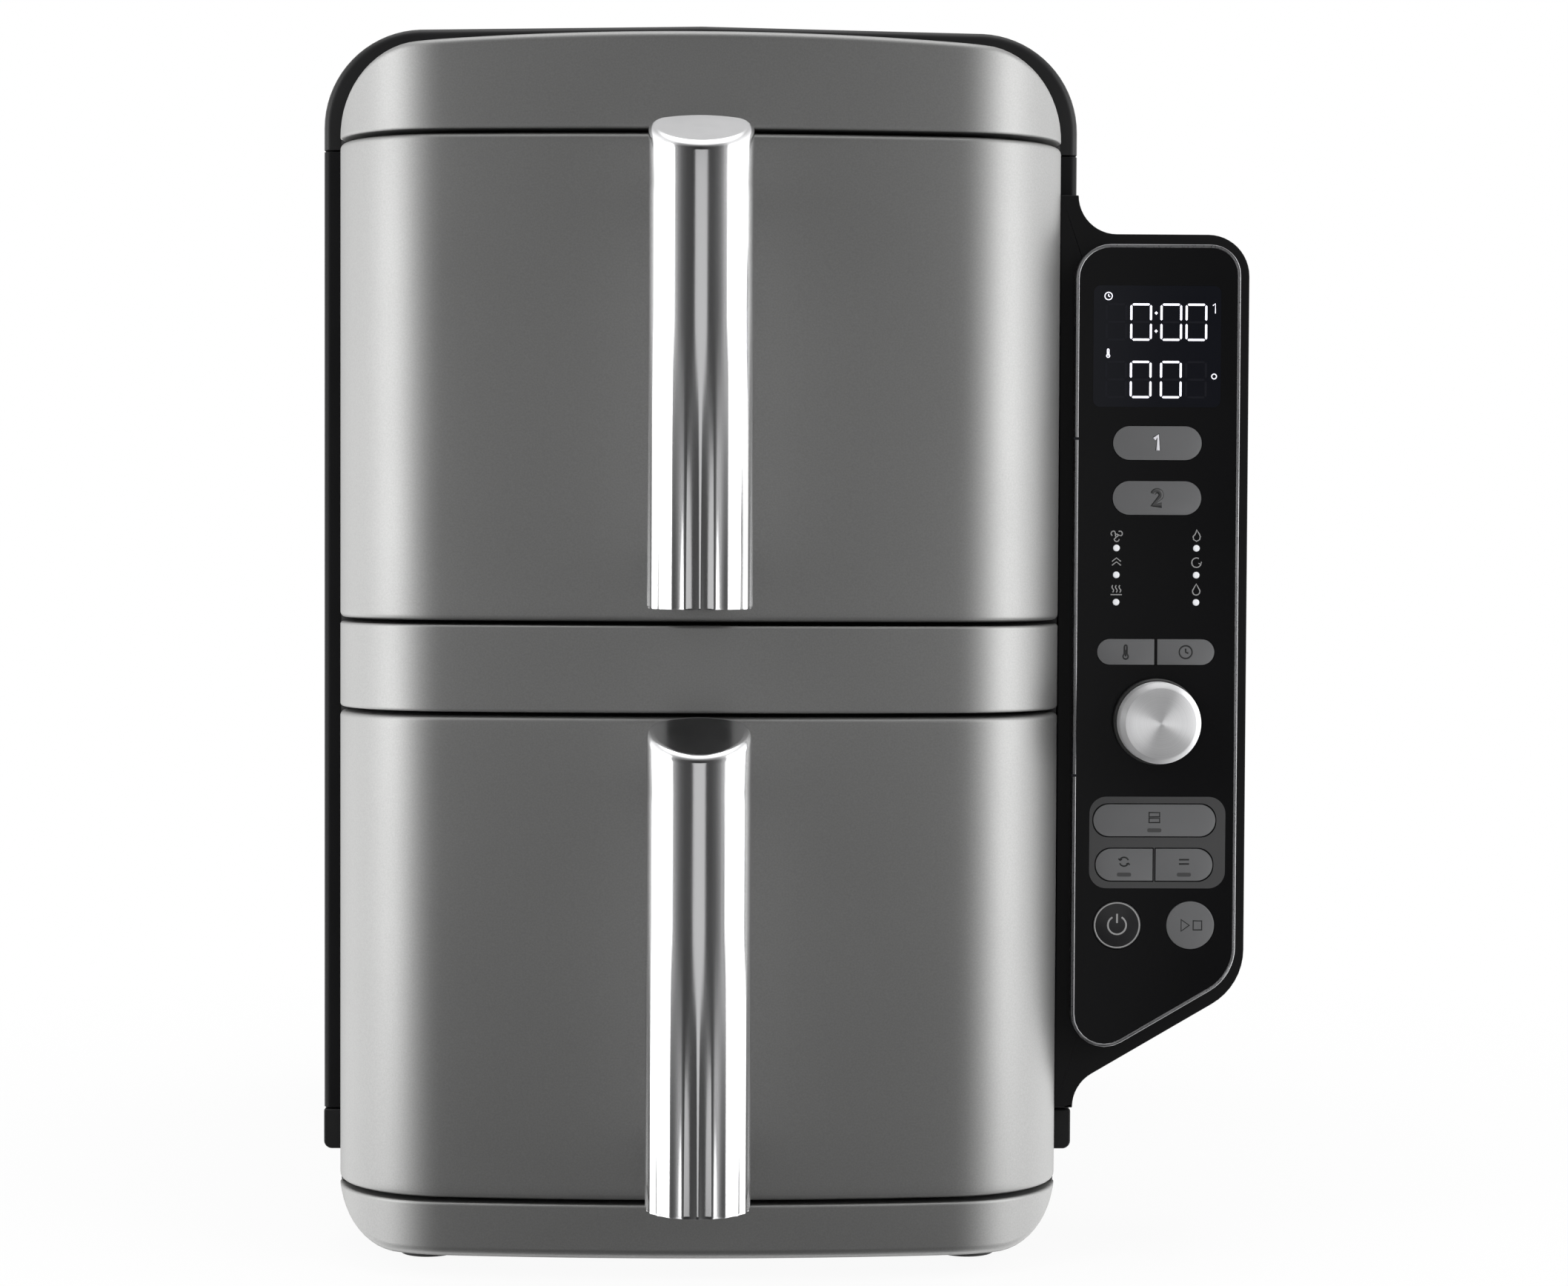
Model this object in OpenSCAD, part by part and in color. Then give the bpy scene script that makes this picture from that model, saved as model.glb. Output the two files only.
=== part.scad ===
// Two-drawer stacked air fryer.
// x runs to the right, y from the handles to the rear, z up; all sizes in mm.
// The pieces are drawn with x from the middle of the body and y from the bow of
// the drawer fronts, and placed() then sets the whole fryer about its own centre.

/* [Front] */
// Width of the grey front
front_w = 223.8; // [218:0.1:228]
// Radius of the shallow bow across the front
front_bow_r = 600; // [500:5:900]
// Radius that turns the front into its sides
front_corner_r = 39.5; // [34:0.5:41]
// Straight part of each side behind that radius
side_flat = 0.8; // [0.5:0.1:4]
// Radius of the two lower corners, seen from the front
lower_corner_r = 19; // [14:0.5:20]
// Radius of the two upper corners, seen from the front
upper_corner_r = 27; // [22:0.5:28.5]
// Radius of the shallow arch along the top of the front
front_arch_r = 1400; // [800:10:2000]
// Wall of the grey mouldings
front_wall = 3; // [2:0.1:4]
// Thickness of the plate behind the drawer fronts
frame_t = 4; // [3:0.1:6]

/* [Heights] */
// Clear height under the front band
foot_rise = 7; // [5:0.1:12]
// Height of the bottom band
band_h = 16.7; // [15:0.1:22]
// Gap above and below each drawer front
panel_gap = 1.3; // [1:0.1:2]
// Height of each drawer front
drawer_h = 146.2; // [144:0.1:156]
// Height of the strip between the drawers
strip_h = 26.3; // [24:0.1:36]
// Height of the top band
cap_h = 29.2; // [28:0.1:36]
// Rise of the dark top cover above the grey front
cover_rise = 8.2; // [7:0.1:12]

/* [Dark shells] */
// Reach of each side panel beside the grey front
side_step = 5.9; // [4.6:0.1:10]
// Depth of the body behind the bow of the front
body_d = 417; // [410:1:440]
// Wall of the dark shells
shell_wall = 2.5; // [2:0.1:3]
// Width of the lip that turns in at the front of each shell
shell_lip = 9; // [7:0.1:9.1]
// Radius of the upper corners of the top cover
cover_corner_r = 31; // [26:0.5:32]
// Radius of the arch along the top cover
cover_arch_r = 2400; // [1200:10:2500]
// Height of the top cover's side walls below the top of the drawers
cover_drop = 1.1; // [0.5:0.1:6]
// Height of the skirt's lower edge above the ground
skirt_z = 32.2; // [30:0.1:34]
// Height of each skirt
skirt_h = 12.8; // [11:0.1:16]
// Depth of the rear cover
rear_d = 24; // [20:0.5:30]
// Length of the vent slots
vent_w = 90; // [60:1:110]
// Height of each vent slot
vent_h = 4; // [3:0.1:5]
// Vent slots behind each fan
vent_rows = 9; // [5:1:10]

/* [Feet] */
// Diameter of each rubber foot
foot_dia = 19; // [15:0.5:20]
// Distance between the left and right feet
foot_span = 169; // [150:1:170]
// Depth of the front feet's middle
foot_front_y = 46.5; // [44:0.5:60]
// Distance of the rear feet from the rear cover's seam
foot_rear_in = 18; // [12:1:40]

/* [Drawers] */
// Height of the sill under each basket opening
sill_h = 7.5; // [6:0.1:10]
// Set-in of each basket's side behind the edge of the grey front
basket_in = 12.9; // [12.4:0.1:18]
// Height of each basket
basket_h = 118; // [100:0.5:120]
// Reach of each basket behind the frame plate
basket_l = 246; // [220:1:250]
// Sheet of each basket
basket_wall = 1.2; // [0.8:0.1:1.6]
// Corner radius of each basket
basket_corner_r = 14; // [10:0.5:20]
// Height of the basket's low rear wall
basket_rear_h = 62; // [50:1:80]
// Sideways clearance between basket and cavity
basket_clear = 3.5; // [2:0.1:4]
// Height of the runners on the cavity floor
runner_h = 2.7; // [2:0.1:4]
// Width of each runner
runner_w = 9; // [6:0.5:14]
// Distance between the two runners of a cavity
runner_span = 150; // [120:1:160]
// Height of the crisper plate over the basket floor
plate_rise = 14; // [10:0.5:20]
// Sheet of the crisper plate
plate_t = 1.5; // [1:0.1:2]
// Diameter of the crisper plate's holes
plate_hole = 7; // [5:0.5:8]
// Distance between the crisper plate's holes
plate_pitch = 16; // [15:0.5:22]

/* [Handles] */
// Width of each handle
handle_w = 30.5; // [26:0.1:34]
// Reach of the handles in front of the drawers
handle_out = 53; // [48:0.5:58]
// Depth of the handle's grip
handle_d = 23.5; // [20:0.1:26]
// Length of the grip along its front
handle_front_h = 133; // [125:0.5:134]
// Length of the grip along its back
handle_back_h = 144; // [138:0.5:144.5]
// Height of the handle's foot above the lower edge of the drawer front
handle_z_up = 4.8; // [3:0.1:7]
// Wall of the bright handle cover
handle_wall = 2; // [1.5:0.1:2.5]
// Width of the handle's arms
arm_w = 20; // [16:0.5:21]
// Height of each handle arm
arm_h = 16; // [12:0.5:20]

/* [Cavities] */
// Sheet of the cavity liners
liner_t = 1; // [0.8:0.1:1.5]
// Width of the liner's front flange
liner_flange = 6; // [4:0.5:6.5]
// Length of the cavity behind the basket
fan_bay = 35; // [33:0.5:42]
// Thickness of the divider between the cavities
divider_t = 0.8; // [0.6:0.1:1.5]
// Height of the divider's turned-up sides
divider_side = 5; // [4:0.5:6]

/* [Heaters and fans] */
// Radius of the heater ring
heater_r = 57; // [55:0.5:58]
// Radius of the heater tube
heater_tube_r = 3.3; // [3:0.1:3.6]
// Spacing of the heater's two legs
heater_legs = 24; // [20:0.5:30]
// Radius of the hot fan
hot_fan_r = 48; // [40:0.5:50]
// Depth of the hot fan's blades
hot_fan_d = 12; // [9:0.5:14]
// Radius of the cooling fan
cool_fan_r = 40; // [34:0.5:44]
// Depth of the cooling fan's blades
cool_fan_d = 9; // [7:0.5:10]
// Blades on each fan
fan_blades = 8; // [6:1:10]
// Radius of the motor shafts
shaft_r = 3; // [2.5:0.1:3.5]
// Radius of each motor
motor_r = 28; // [25:0.5:30]
// Length of each motor
motor_l = 34; // [32:0.5:35]
// Distance of the motor plate behind the cavity
bracket_gap = 12; // [10:0.5:13]

/* [Control pod] */
// Width of the pod beside the body
pod_w = 53.7; // [50:0.1:60]
// Drop of the pod's top below the top of the body
pod_drop = 64.5; // [60:0.5:74]
// Height of the pod's right side down to the slanted underside
pod_h = 235.8; // [234:0.1:244]
// Slope of the pod's underside in degrees
pod_slope = 30.3; // [26:0.1:34]
// Depth of the pod
pod_d = 64; // [56:0.5:80]
// Radius of the hollow corners where the pod meets the body
pod_blend_r = 12; // [8:0.5:12.5]
// Radius of the pod's upper corner
pod_top_r = 13; // [10:0.5:14]
// Radius of the pod's lower corner
pod_low_r = 20; // [16:0.5:22]
// Rise of the fascia in front of the pod's front
fascia_rise = 6; // [5:0.1:8]
// Thickness of the fascia
fascia_t = 3; // [2.5:0.1:3.5]
// Border of the pod around the fascia
fascia_margin = 3.6; // [3:0.1:4]
// Overlap of the fascia in front of the body's side
fascia_lap = 1.2; // [0.5:0.1:2]
// Width of the grey line around the fascia
trim_w = 1; // [0.8:0.1:1.2]

/* [Controls] */
// Clearance around each key
key_clear = 0.2; // [0.15:0.01:0.25]
// Travel of each key
key_travel = 0.4; // [0.3:0.05:0.45]
// Width of the two numbered keys
number_key_w = 27.6; // [24:0.1:29]
// Height of the two numbered keys
number_key_h = 10.5; // [9:0.1:11.5]
// Width of a pair of side-by-side keys
pair_w = 36.6; // [34:0.1:37.5]
// Height of the upper key pair
upper_pair_h = 8; // [7:0.1:9]
// Height of the wide key and of the key pair below it
wide_key_h = 10; // [9:0.1:10.8]
// Gap between the two keys of a pair
pair_gap = 0.95; // [0.8:0.05:1.2]
// Diameter of the round keys
round_key = 15; // [13:0.1:16]
// Distance of the round keys from the fascia's middle line
round_key_x = 11.5; // [10.5:0.1:11.8]
// Diameter of the dial's bright cap
dial_dia = 25.2; // [22:0.1:27]
// Height of the dial in front of the fascia
dial_h = 14.5; // [12:0.1:17]
// Diameter of the indicator lights
light_dia = 2.1; // [2:0.1:3]

/* [Hidden] */
$fn = 96;
touch = 0.3;
slack = 0.5;
// How far a round corner laps over the arcs that it joins
corner_lap = 0.01;
over = 1;

// Outline of the front
front_half = front_w / 2;
corner_x = front_half - front_corner_r;
side_start = front_bow_r - sqrt(pow(front_bow_r - front_corner_r, 2) - corner_x * corner_x);
frame_y = side_start + side_flat;
frame_back = frame_y + frame_t;

// Heights
band_top = foot_rise + band_h;
lower_z = band_top + panel_gap;
strip_z = lower_z + drawer_h + panel_gap;
upper_z = strip_z + strip_h + panel_gap;
cap_z = upper_z + drawer_h + panel_gap;
front_top = cap_z + cap_h;
body_top = front_top + cover_rise;
cover_z = cap_z - panel_gap - cover_drop;
skirt_top = skirt_z + skirt_h;
strip_mid = strip_z + strip_h / 2;
drawer_zs = [lower_z, upper_z];

// Dark shells
body_half = front_half + side_step;
body_w = 2 * body_half;
shell_in = body_half - shell_wall;
rear_y = body_d - rear_d;
base_half = front_half - slack;
base_z = foot_rise + slack;
base_t = 3;
floor_z = base_z + base_t;
floor_half = front_half - lower_corner_r + 2.5;
base_corner_r = lower_corner_r - slack;
base_wall = 2.5;
base_top = skirt_top - touch;

// Baskets, from the lower edge of a drawer front
basket_w = 2 * (front_half - basket_in);
window_w = basket_w + 2 * basket_clear;
window_h = drawer_h - 2 * sill_h;
basket_floor = sill_h + runner_h + touch;
plate_floor = basket_floor + basket_wall + plate_rise;
flange_y = frame_y - 3;
basket_back = frame_back + basket_l;
cavity_back = basket_back + fan_bay;
fan_z = sill_h + window_h / 2;
fan_zs = [for (z = drawer_zs) z + fan_z];

// Heaters, fans and motors along y
guard_y = basket_back + 5;
guard_t = 0.8;
hot_fan_y = guard_y + guard_t + 5;
heater_y = hot_fan_y + hot_fan_d - 3;
bracket_y = cavity_back + bracket_gap;
bracket_t = 2;
motor_y = bracket_y + bracket_t;
motor_end = motor_y + motor_l;
cool_fan_y = motor_end + 3;
shaft_start = hot_fan_y - 2;
shaft_end = cool_fan_y + cool_fan_d + 1;
fan_disc = 1.2;
bearing_l = 5;
bearing_r = shaft_r + 3;
bearing_fit = 0.05;
rotor_r = 13;
rotor_gap = 1;
hub_r = shaft_r + 4.5;

// Posts inside each drawer front, from its wall back to the basket's flange
post_x = 55;
post_in = 16;
post_r = 4;
post_y = front_bow_r - sqrt(front_bow_r * front_bow_r - pow(post_x + post_r, 2)) + 1;

// Handles
grip_r = handle_w / 2;
grip_front = -handle_out;
grip_mid = grip_front + grip_r;
grip_back = grip_front + handle_d;
grip_back_d = handle_d - grip_r;
grip_back_r = 0.75 * grip_back_d;
grip_rise = grip_back_d - grip_back_r - touch;
grip_bow_r = grip_back_r + ((grip_r - grip_back_r) ^ 2 + grip_rise ^ 2) / (2 * grip_rise);
handle_slant = atan((handle_back_h - handle_front_h) / handle_d);
core_clear = 0.2;

// Pod
pod_x = body_half + pod_w;
pod_top = body_top - pod_drop;
pod_low = pod_top - pod_h;
pod_y = frame_back - 5;
pod_wall = 2.5;
apron_x = front_half + touch;
fascia_left = body_half - fascia_lap;
fascia_right = pod_x - fascia_margin;
fascia_top = pod_top - fascia_margin;
fascia_low = pod_low + fascia_margin * 1.05;
fascia_y = pod_y - fascia_rise;
fascia_face = fascia_y + 0.2;
fascia_back = fascia_face + fascia_t;
fascia_mid = (fascia_left + fascia_right) / 2;
board_y = pod_y + 8;
board_t = 1.6;
board_rim = 6;
board_half = (fascia_right - fascia_left) / 2 - board_rim;
board_top = fascia_top - board_rim - 1;
board_low = fascia_low + board_rim / 3;

// Controls in rows, by the share of the height under the display that each lies down
display_half = 19.9;
display_h = 37.7;
display_drop = 12.7;
rows_top = fascia_top - display_drop - display_h;
rows_h = rows_top - fascia_low;
number_key_rows = [0.0635, 0.1595];
light_row_shares = [0.2472, 0.2943, 0.3421];
upper_pair_row = 0.4292;
dial_row = 0.5505;
wide_key_row = 0.7252;
lower_pair_row = 0.8033;
round_key_row = 0.91;
key_face = fascia_face - 0.2;
key_flange = 0.8;
key_flange_t = 1;
key_stem_r = 2;
key_rest = 0.1;
switch_h = 3.5;
key_zs = [for (row = number_key_rows) rows_top - row * rows_h];
light_rows = [for (row = light_row_shares) rows_top - row * rows_h];
light_x = 12.5;
upper_pair_z = rows_top - upper_pair_row * rows_h;
dial_z = rows_top - dial_row * rows_h;
wide_key_z = rows_top - wide_key_row * rows_h;
lower_pair_z = rows_top - lower_pair_row * rows_h;
round_key_z = rows_top - round_key_row * rows_h;
dial_face = fascia_face - dial_h;
dial_shaft_r = 3;
skirt_r = dial_dia / 2 + 0.8;
skirt_d = 4;
dial_gap = 0.6;
encoder_w = 12;
encoder_d = 6;
bushing_r = 4.5;

// Screws
screw_r = 1.8;
screw_head_r = 3.4;
boss_r = 5;
boss_l = 12;
boss_rib = 2;
screw_in = 22;
screw_x = shell_in - boss_r - over;
screw_zs = [skirt_top + screw_in, cover_z - screw_in];

// ---- Placing ----

// Centres the fryer over its own outline, with the feet on z = 0
module placed() {
    translate([body_half - (body_half + pod_x) / 2, (handle_out - body_d) / 2, 0]) children();
}

// Stands an outline drawn in x and z up and gives it a depth from y to y + d
module upright(y, d) {
    translate([0, y + d, 0]) rotate([90, 0, 0]) linear_extrude(d) children();
}

// A round rod along y, from y to y + l
module rod(r, y, l, x = 0, z = 0) {
    translate([x, y + l, z]) rotate([90, 0, 0]) cylinder(r = r, h = l);
}

// A box from one corner to the opposite one
module box(a, b) {
    translate(a) cube(b - a);
}

// ---- Outlines ----

// A slab whose face is a shallow arc through the origin, with round corners
module bowed(half, reach, bow_r, corner_r, inset) {
    lean = corner_x_of(half, corner_r) / (bow_r - corner_r);
    start = bow_r - (bow_r - corner_r) * sqrt(1 - lean * lean);
    run = bow_r * lean / sqrt(1 - lean * lean);
    intersection() {
        translate([0, bow_r]) circle(r = bow_r - inset, $fn = 720);
        polygon([[0, bow_r], [-2 * run, -bow_r], [2 * run, -bow_r]]);
        translate([-half, 0]) square([2 * half, reach]);
    }
    for (s = [-1, 1]) intersection() {
        translate([s * corner_x_of(half, corner_r), start])
            circle(r = corner_r - inset + corner_lap);
        translate([inset - half, 0]) square([2 * (half - inset), reach]);
    }
    translate([inset - half, start]) square([2 * (half - inset), reach - start]);
}

function corner_x_of(half, corner_r) = half - corner_r;

// The front in plan, from its bow back to a given depth
module front_plan(reach, inset = 0) {
    bowed(front_half, reach, front_bow_r, front_corner_r, inset);
}

// An upright outline with an arched top and round lower corners
module arched(half, low, high, arch_r, top_r, low_r, inset = 0) {
    middle = (low + high) / 2;
    translate([0, high]) mirror([0, 1]) bowed(half, high - middle, arch_r, top_r, inset);
    for (s = [-1, 1])
        translate([s * (half - low_r), low + low_r]) circle(r = low_r - inset);
    translate([low_r - half, low + inset]) square([2 * (half - low_r), middle - low]);
    translate([inset - half, low + low_r]) square([2 * (half - inset), middle - low - low_r + touch]);
}

// The grey front seen from the front, a touch wider than the plan that trims it
module front_outline(inset = 0) {
    arched(front_half + 0.1, foot_rise, front_top, front_arch_r, upper_corner_r, lower_corner_r, inset);
}

// The dark shells seen from the front
module shell_outline(inset = 0) {
    arched(body_half, skirt_z - skirt_h, body_top, cover_arch_r, cover_corner_r, skirt_h, inset);
}

// A rectangle about the origin with round corners
module soft_rect(w, h, r) {
    square([w - 2 * r, h], center = true);
    square([w, h - 2 * r], center = true);
    for (sx = [-1, 1], sy = [-1, 1])
        translate([sx * (w / 2 - r), sy * (h / 2 - r)]) circle(r = r);
}

// ---- Rounded polygons for the pod ----

function unit(v) = v / norm(v);

// The arc that rounds corner b between its neighbours a and c
function corner_arc(a, b, c, r, steps = 8) =
    let (u = unit(a - b), v = unit(c - b))
    let (half = acos(u * v) / 2)
    let (hub = b + unit(u + v) * r / sin(half))
    let (from = b + u * r / tan(half) - hub, to = b + v * r / tan(half) - hub)
    let (start = atan2(from[1], from[0]), sweep = atan2(to[1], to[0]) - start)
    let (turn = sweep > 180 ? sweep - 360 : sweep < -180 ? sweep + 360 : sweep)
    [for (i = [0:steps]) hub + r * [cos(start + turn * i / steps), sin(start + turn * i / steps)]];

function rounded(points, radii) =
    let (n = len(points))
    [for (i = [0:n - 1])
        each (radii[i] > 0
            ? corner_arc(points[(i + n - 1) % n], points[i], points[(i + 1) % n], radii[i])
            : [points[i]])];

// Side wall of the body, where the pod's outline starts and ends
module pod_outline(x0, inset = 0) {
    top = pod_top - inset;
    right = pod_x - inset;
    low = pod_low + inset / cos(pod_slope) - inset * tan(pod_slope);
    foot = low - (right - body_half) * tan(pod_slope);
    polygon(rounded(
        [[body_half, top], [right, top], [right, low], [body_half, foot]],
        [0, pod_top_r - inset, pod_low_r - inset, 0]));
    if (x0 < body_half) polygon(rounded(
        [[x0, top + pod_blend_r], [body_half, top + pod_blend_r], [body_half, top],
            [body_half + 2 * pod_blend_r, top], [body_half + 2 * pod_blend_r, foot + 2.5 * pod_blend_r],
            [body_half + 2 * pod_blend_r, foot + 2 * pod_blend_r * tan(pod_slope)],
            [body_half, foot], [body_half, foot - pod_blend_r * 0.6], [x0, foot - pod_blend_r * 0.6]],
        [0, 0, pod_blend_r, 0, 0, 0, pod_blend_r, 0, 0]));
}

module fascia_outline(inset = 0) {
    left = fascia_left + inset;
    right = fascia_right - inset;
    low = fascia_low + inset / cos(pod_slope) - inset * tan(pod_slope);
    foot = low - (right - left) * tan(pod_slope);
    polygon(rounded(
        [[left, fascia_top - inset], [right, fascia_top - inset], [right, low], [left, foot]],
        [10.8 - inset, 9.3 - inset, 16 - inset, 10.4 - inset]));
}

// ---- Body ----

// Slots through the plate behind the upper two bands
frame_slot = [44, 10];
frame_slot_x = 66;

// One moulding: three bands in front of a plate with a window for each drawer
module front_bezel() {
    bands = [[foot_rise, band_top], [strip_z, strip_z + strip_h], [cap_z, front_top + over]];
    hollow_tops = [band_top - front_wall, strip_z + strip_h - front_wall, front_top];
    wide = front_half + over;
    color("dimgray") difference() {
        intersection() {
            linear_extrude(front_top + over) front_plan(frame_back);
            upright(0, frame_back) front_outline();
            union() {
                box([-wide, frame_y, 0], [wide, frame_back, front_top + over]);
                for (b = bands) box([-wide, -over, b[0]], [wide, frame_y + over, b[1]]);
            }
        }
        intersection() {
            linear_extrude(front_top) front_plan(frame_y, front_wall);
            upright(0, frame_y) front_outline(front_wall);
            for (i = [0:2]) box([-wide, 0, bands[i][0] + front_wall], [wide, frame_y, hollow_tops[i]]);
        }
        for (z = drawer_zs)
            box([-window_w / 2, frame_y - over, z + sill_h],
                [window_w / 2, frame_back + over, z + sill_h + window_h]);
        for (s = [-1, 1], z = [strip_mid, cap_z + cap_h / 2 + frame_slot[1] / 4])
            box([s * frame_slot_x - frame_slot[0] / 2, frame_y - over, z - frame_slot[1] / 2],
                [s * frame_slot_x + frame_slot[0] / 2, frame_back + over, z + frame_slot[1] / 2]);
        intersection() {
            box([-floor_half - touch, 0, 0], [floor_half + touch, frame_back + over, floor_z + touch]);
            linear_extrude(floor_z + touch) front_plan(frame_back + over, front_wall);
        }
    }
}

// The dark shell between two heights: its wall and the lip at its front
module shell_part(low, high) {
    intersection() {
        difference() {
            upright(frame_back, rear_y - frame_back) shell_outline();
            upright(frame_back + shell_wall, rear_y) shell_outline(shell_wall);
            upright(frame_back - over, shell_wall + 2 * over) shell_outline(shell_lip);
        }
        box([-body_w, 0, low], [body_w, body_d, high]);
    }
}

module top_cover() {
    color([0.17, 0.17, 0.17]) shell_part(cover_z, body_top + over);
}

// One side panel with the bosses that take the rear screws
module side_panel(side) {
    intersection() {
        shell_part(skirt_top, cover_z);
        box([side < 0 ? -body_w : 0, 0, 0], [side < 0 ? 0 : body_w, body_d, body_top]);
    }
    for (z = screw_zs) difference() {
        union() {
            rod(boss_r, rear_y - boss_l, boss_l, side * screw_x, z);
            box([side * screw_x - (side < 0 ? boss_r + 2 * over : 0), rear_y - boss_l, z - boss_rib],
                [side * screw_x + (side < 0 ? 0 : boss_r + 2 * over), rear_y, z + boss_rib]);
        }
        rod(screw_r, rear_y - boss_l + 2, boss_l, side * screw_x, z);
    }
}

module left_side_panel() {
    color([0.11, 0.11, 0.11]) side_panel(-1);
}

// The right panel has a window for the pod's wires
loom_in = 22;
loom_w = 24;

module right_side_panel() {
    color([0.11, 0.11, 0.11]) difference() {
        side_panel(1);
        box([shell_in - over, pod_y + loom_in, strip_z],
            [body_half + over, pod_y + loom_in + loom_w, strip_z + strip_h]);
    }
}

// One skirt with the flange under it that meets the base
module skirt(side) {
    mirror([side < 0 ? 1 : 0, 0, 0]) {
        box([shell_in, frame_back, skirt_z], [body_half, rear_y, skirt_top]);
        box([base_half + touch, frame_back, skirt_z], [shell_in, rear_y, skirt_z + shell_wall]);
        box([base_half + touch, frame_back, skirt_z], [shell_in, frame_back + shell_wall, skirt_top]);
    }
}

module left_skirt() {
    color([0.17, 0.17, 0.17]) skirt(-1);
}

module right_skirt() {
    color([0.17, 0.17, 0.17]) skirt(1);
}

module base_outline(inset = 0) {
    arched(base_half, base_z, front_top, front_arch_r, upper_corner_r, base_corner_r, inset);
}

board_size = [120, 90];
board_pos = [-board_size[0] / 2, frame_back + 0.6 * basket_l];
board_post_in = 6;
board_z = floor_z + 5;

module base_tray() {
    color([0.13, 0.13, 0.13]) {
        difference() {
            upright(frame_back, rear_y - frame_back - touch) base_outline();
            upright(frame_back + base_wall, rear_y - frame_back - 2 * base_wall - touch)
                base_outline(base_wall);
            box([-body_w, 0, base_top], [body_w, body_d, body_top]);
            box([-floor_half, 0, floor_z], [floor_half, frame_back + base_wall + over, base_top]);
            box([base_wall - base_half, 0, lower_z],
                [base_half - base_wall, frame_back + base_wall + over, base_top]);
        }
        intersection() {
            translate([0, 0, base_z]) linear_extrude(base_t)
                front_plan(frame_back + over, front_wall + touch);
            box([-floor_half, 0, 0], [floor_half, frame_back + over, base_top]);
        }
        for (x = [board_post_in, board_size[0] - board_post_in],
            y = [board_post_in, board_size[1] - board_post_in])
            translate([board_pos[0] + x, board_pos[1] + y, floor_z - 1])
                cylinder(r = 3, h = board_z - floor_z + 1);
    }
}

module feet() {
    color([0.08, 0.08, 0.08])
        for (x = [-foot_span / 2, foot_span / 2], y = [foot_front_y, rear_y - foot_rear_in])
            translate([x, y, 0]) {
                cylinder(r1 = foot_dia / 2 - 1, r2 = foot_dia / 2, h = 1);
                translate([0, 0, 1]) cylinder(r = foot_dia / 2, h = base_z - 1);
            }
}

gland_x = -60;
gland_z = skirt_z + 22;
gland_r = 7;
gland_rim = 1.2;

module rear_cover() {
    vent_step = 2 * vent_h;
    color([0.11, 0.11, 0.11]) difference() {
        union() {
            intersection() {
                difference() {
                    upright(rear_y, rear_d) shell_outline();
                    upright(rear_y - over, rear_d - shell_wall + over) shell_outline(shell_wall);
                }
                box([-body_w, 0, skirt_z], [body_w, body_d, body_top + over]);
            }
            box([-shell_in, rear_y, skirt_z], [shell_in, body_d, skirt_z + shell_wall]);
            for (s = [-1, 1], z = screw_zs) rod(boss_r, rear_y, rear_d - over, s * screw_x, z);
        }
        for (z = fan_zs, i = [0:vent_rows - 1])
            box([-vent_w / 2, body_d - 2 * shell_wall, z + (i - vent_rows / 2 + 0.25) * vent_step],
                [vent_w / 2, body_d + over, z + (i - vent_rows / 2 + 0.75) * vent_step]);
        for (s = [-1, 1], z = screw_zs) {
            rod(screw_r + 0.2, rear_y - over, rear_d + 2 * over, s * screw_x, z);
            rod(screw_head_r + 0.3, body_d - 2, 3, s * screw_x, z);
        }
        rod(gland_r, rear_y, rear_d + over, gland_x, gland_z);
        rod(gland_r + 2 + touch, body_d - gland_rim, gland_rim + over, gland_x, gland_z);
    }
}

module inlet_gland() {
    color([0.08, 0.08, 0.08]) difference() {
        union() {
            rod(gland_r, body_d - shell_wall - 3, shell_wall + 3, gland_x, gland_z);
            rod(gland_r + 2, body_d - gland_rim, gland_rim, gland_x, gland_z);
            rod(gland_r + 1.5, body_d - shell_wall - 3, 3, gland_x, gland_z);
        }
        rod(4, body_d - 12, 20, gland_x, gland_z);
    }
}

module housing_screws() {
    color("silver") for (s = [-1, 1], z = screw_zs) {
        rod(screw_r, rear_y - boss_l + 3, rear_d + boss_l - 5, s * screw_x, z);
        difference() {
            rod(screw_head_r, body_d - 2, 1.8, s * screw_x, z);
            box([s * screw_x - 2.4, body_d - 1.2, z - 0.4], [s * screw_x + 2.4, body_d + over, z + 0.4]);
        }
    }
}

// ---- Cavities ----

module liner(z) {
    low = z + sill_h;
    high = low + window_h;
    half = window_w / 2;
    color("darkgray") difference() {
        union() {
            box([-half - liner_t, frame_back, low - liner_t],
                [half + liner_t, cavity_back + liner_t, high + liner_t]);
            box([-half - liner_flange, frame_back, low - liner_flange],
                [half + liner_flange, frame_back + liner_t, high + liner_flange]);
        }
        box([-half, frame_back - over, low], [half, cavity_back, high]);
        rod(shaft_r + 2, cavity_back - over, 3 * over, 0, z + fan_z);
        for (s = [-1, 1])
            rod(heater_tube_r + touch, cavity_back - over, 3 * over,
                s * heater_legs / 2, z + fan_z + leg_rise);
    }
}

leg_rise = sqrt(heater_r * heater_r - heater_legs * heater_legs / 4);

module upper_liner() {
    liner(upper_z);
}

module lower_liner() {
    liner(lower_z);
}

module divider_shield() {
    inner = shell_in - touch;
    back = rear_y - 2;
    front = frame_back + shell_wall + touch;
    color("silver") {
        box([-inner, front, strip_mid], [inner, back, strip_mid + divider_t]);
        for (s = [-1, 1])
            box([s < 0 ? -inner : inner - divider_t, front, strip_mid],
                [s < 0 ? divider_t - inner : inner, back, strip_mid + divider_side]);
    }
}

module drawer_runners() {
    color("lightgray") for (z = drawer_zs, s = [-1, 1])
        box([s * runner_span / 2 - runner_w / 2, frame_back, z + sill_h],
            [s * runner_span / 2 + runner_w / 2, basket_back - 6, z + sill_h + runner_h]);
}

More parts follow.
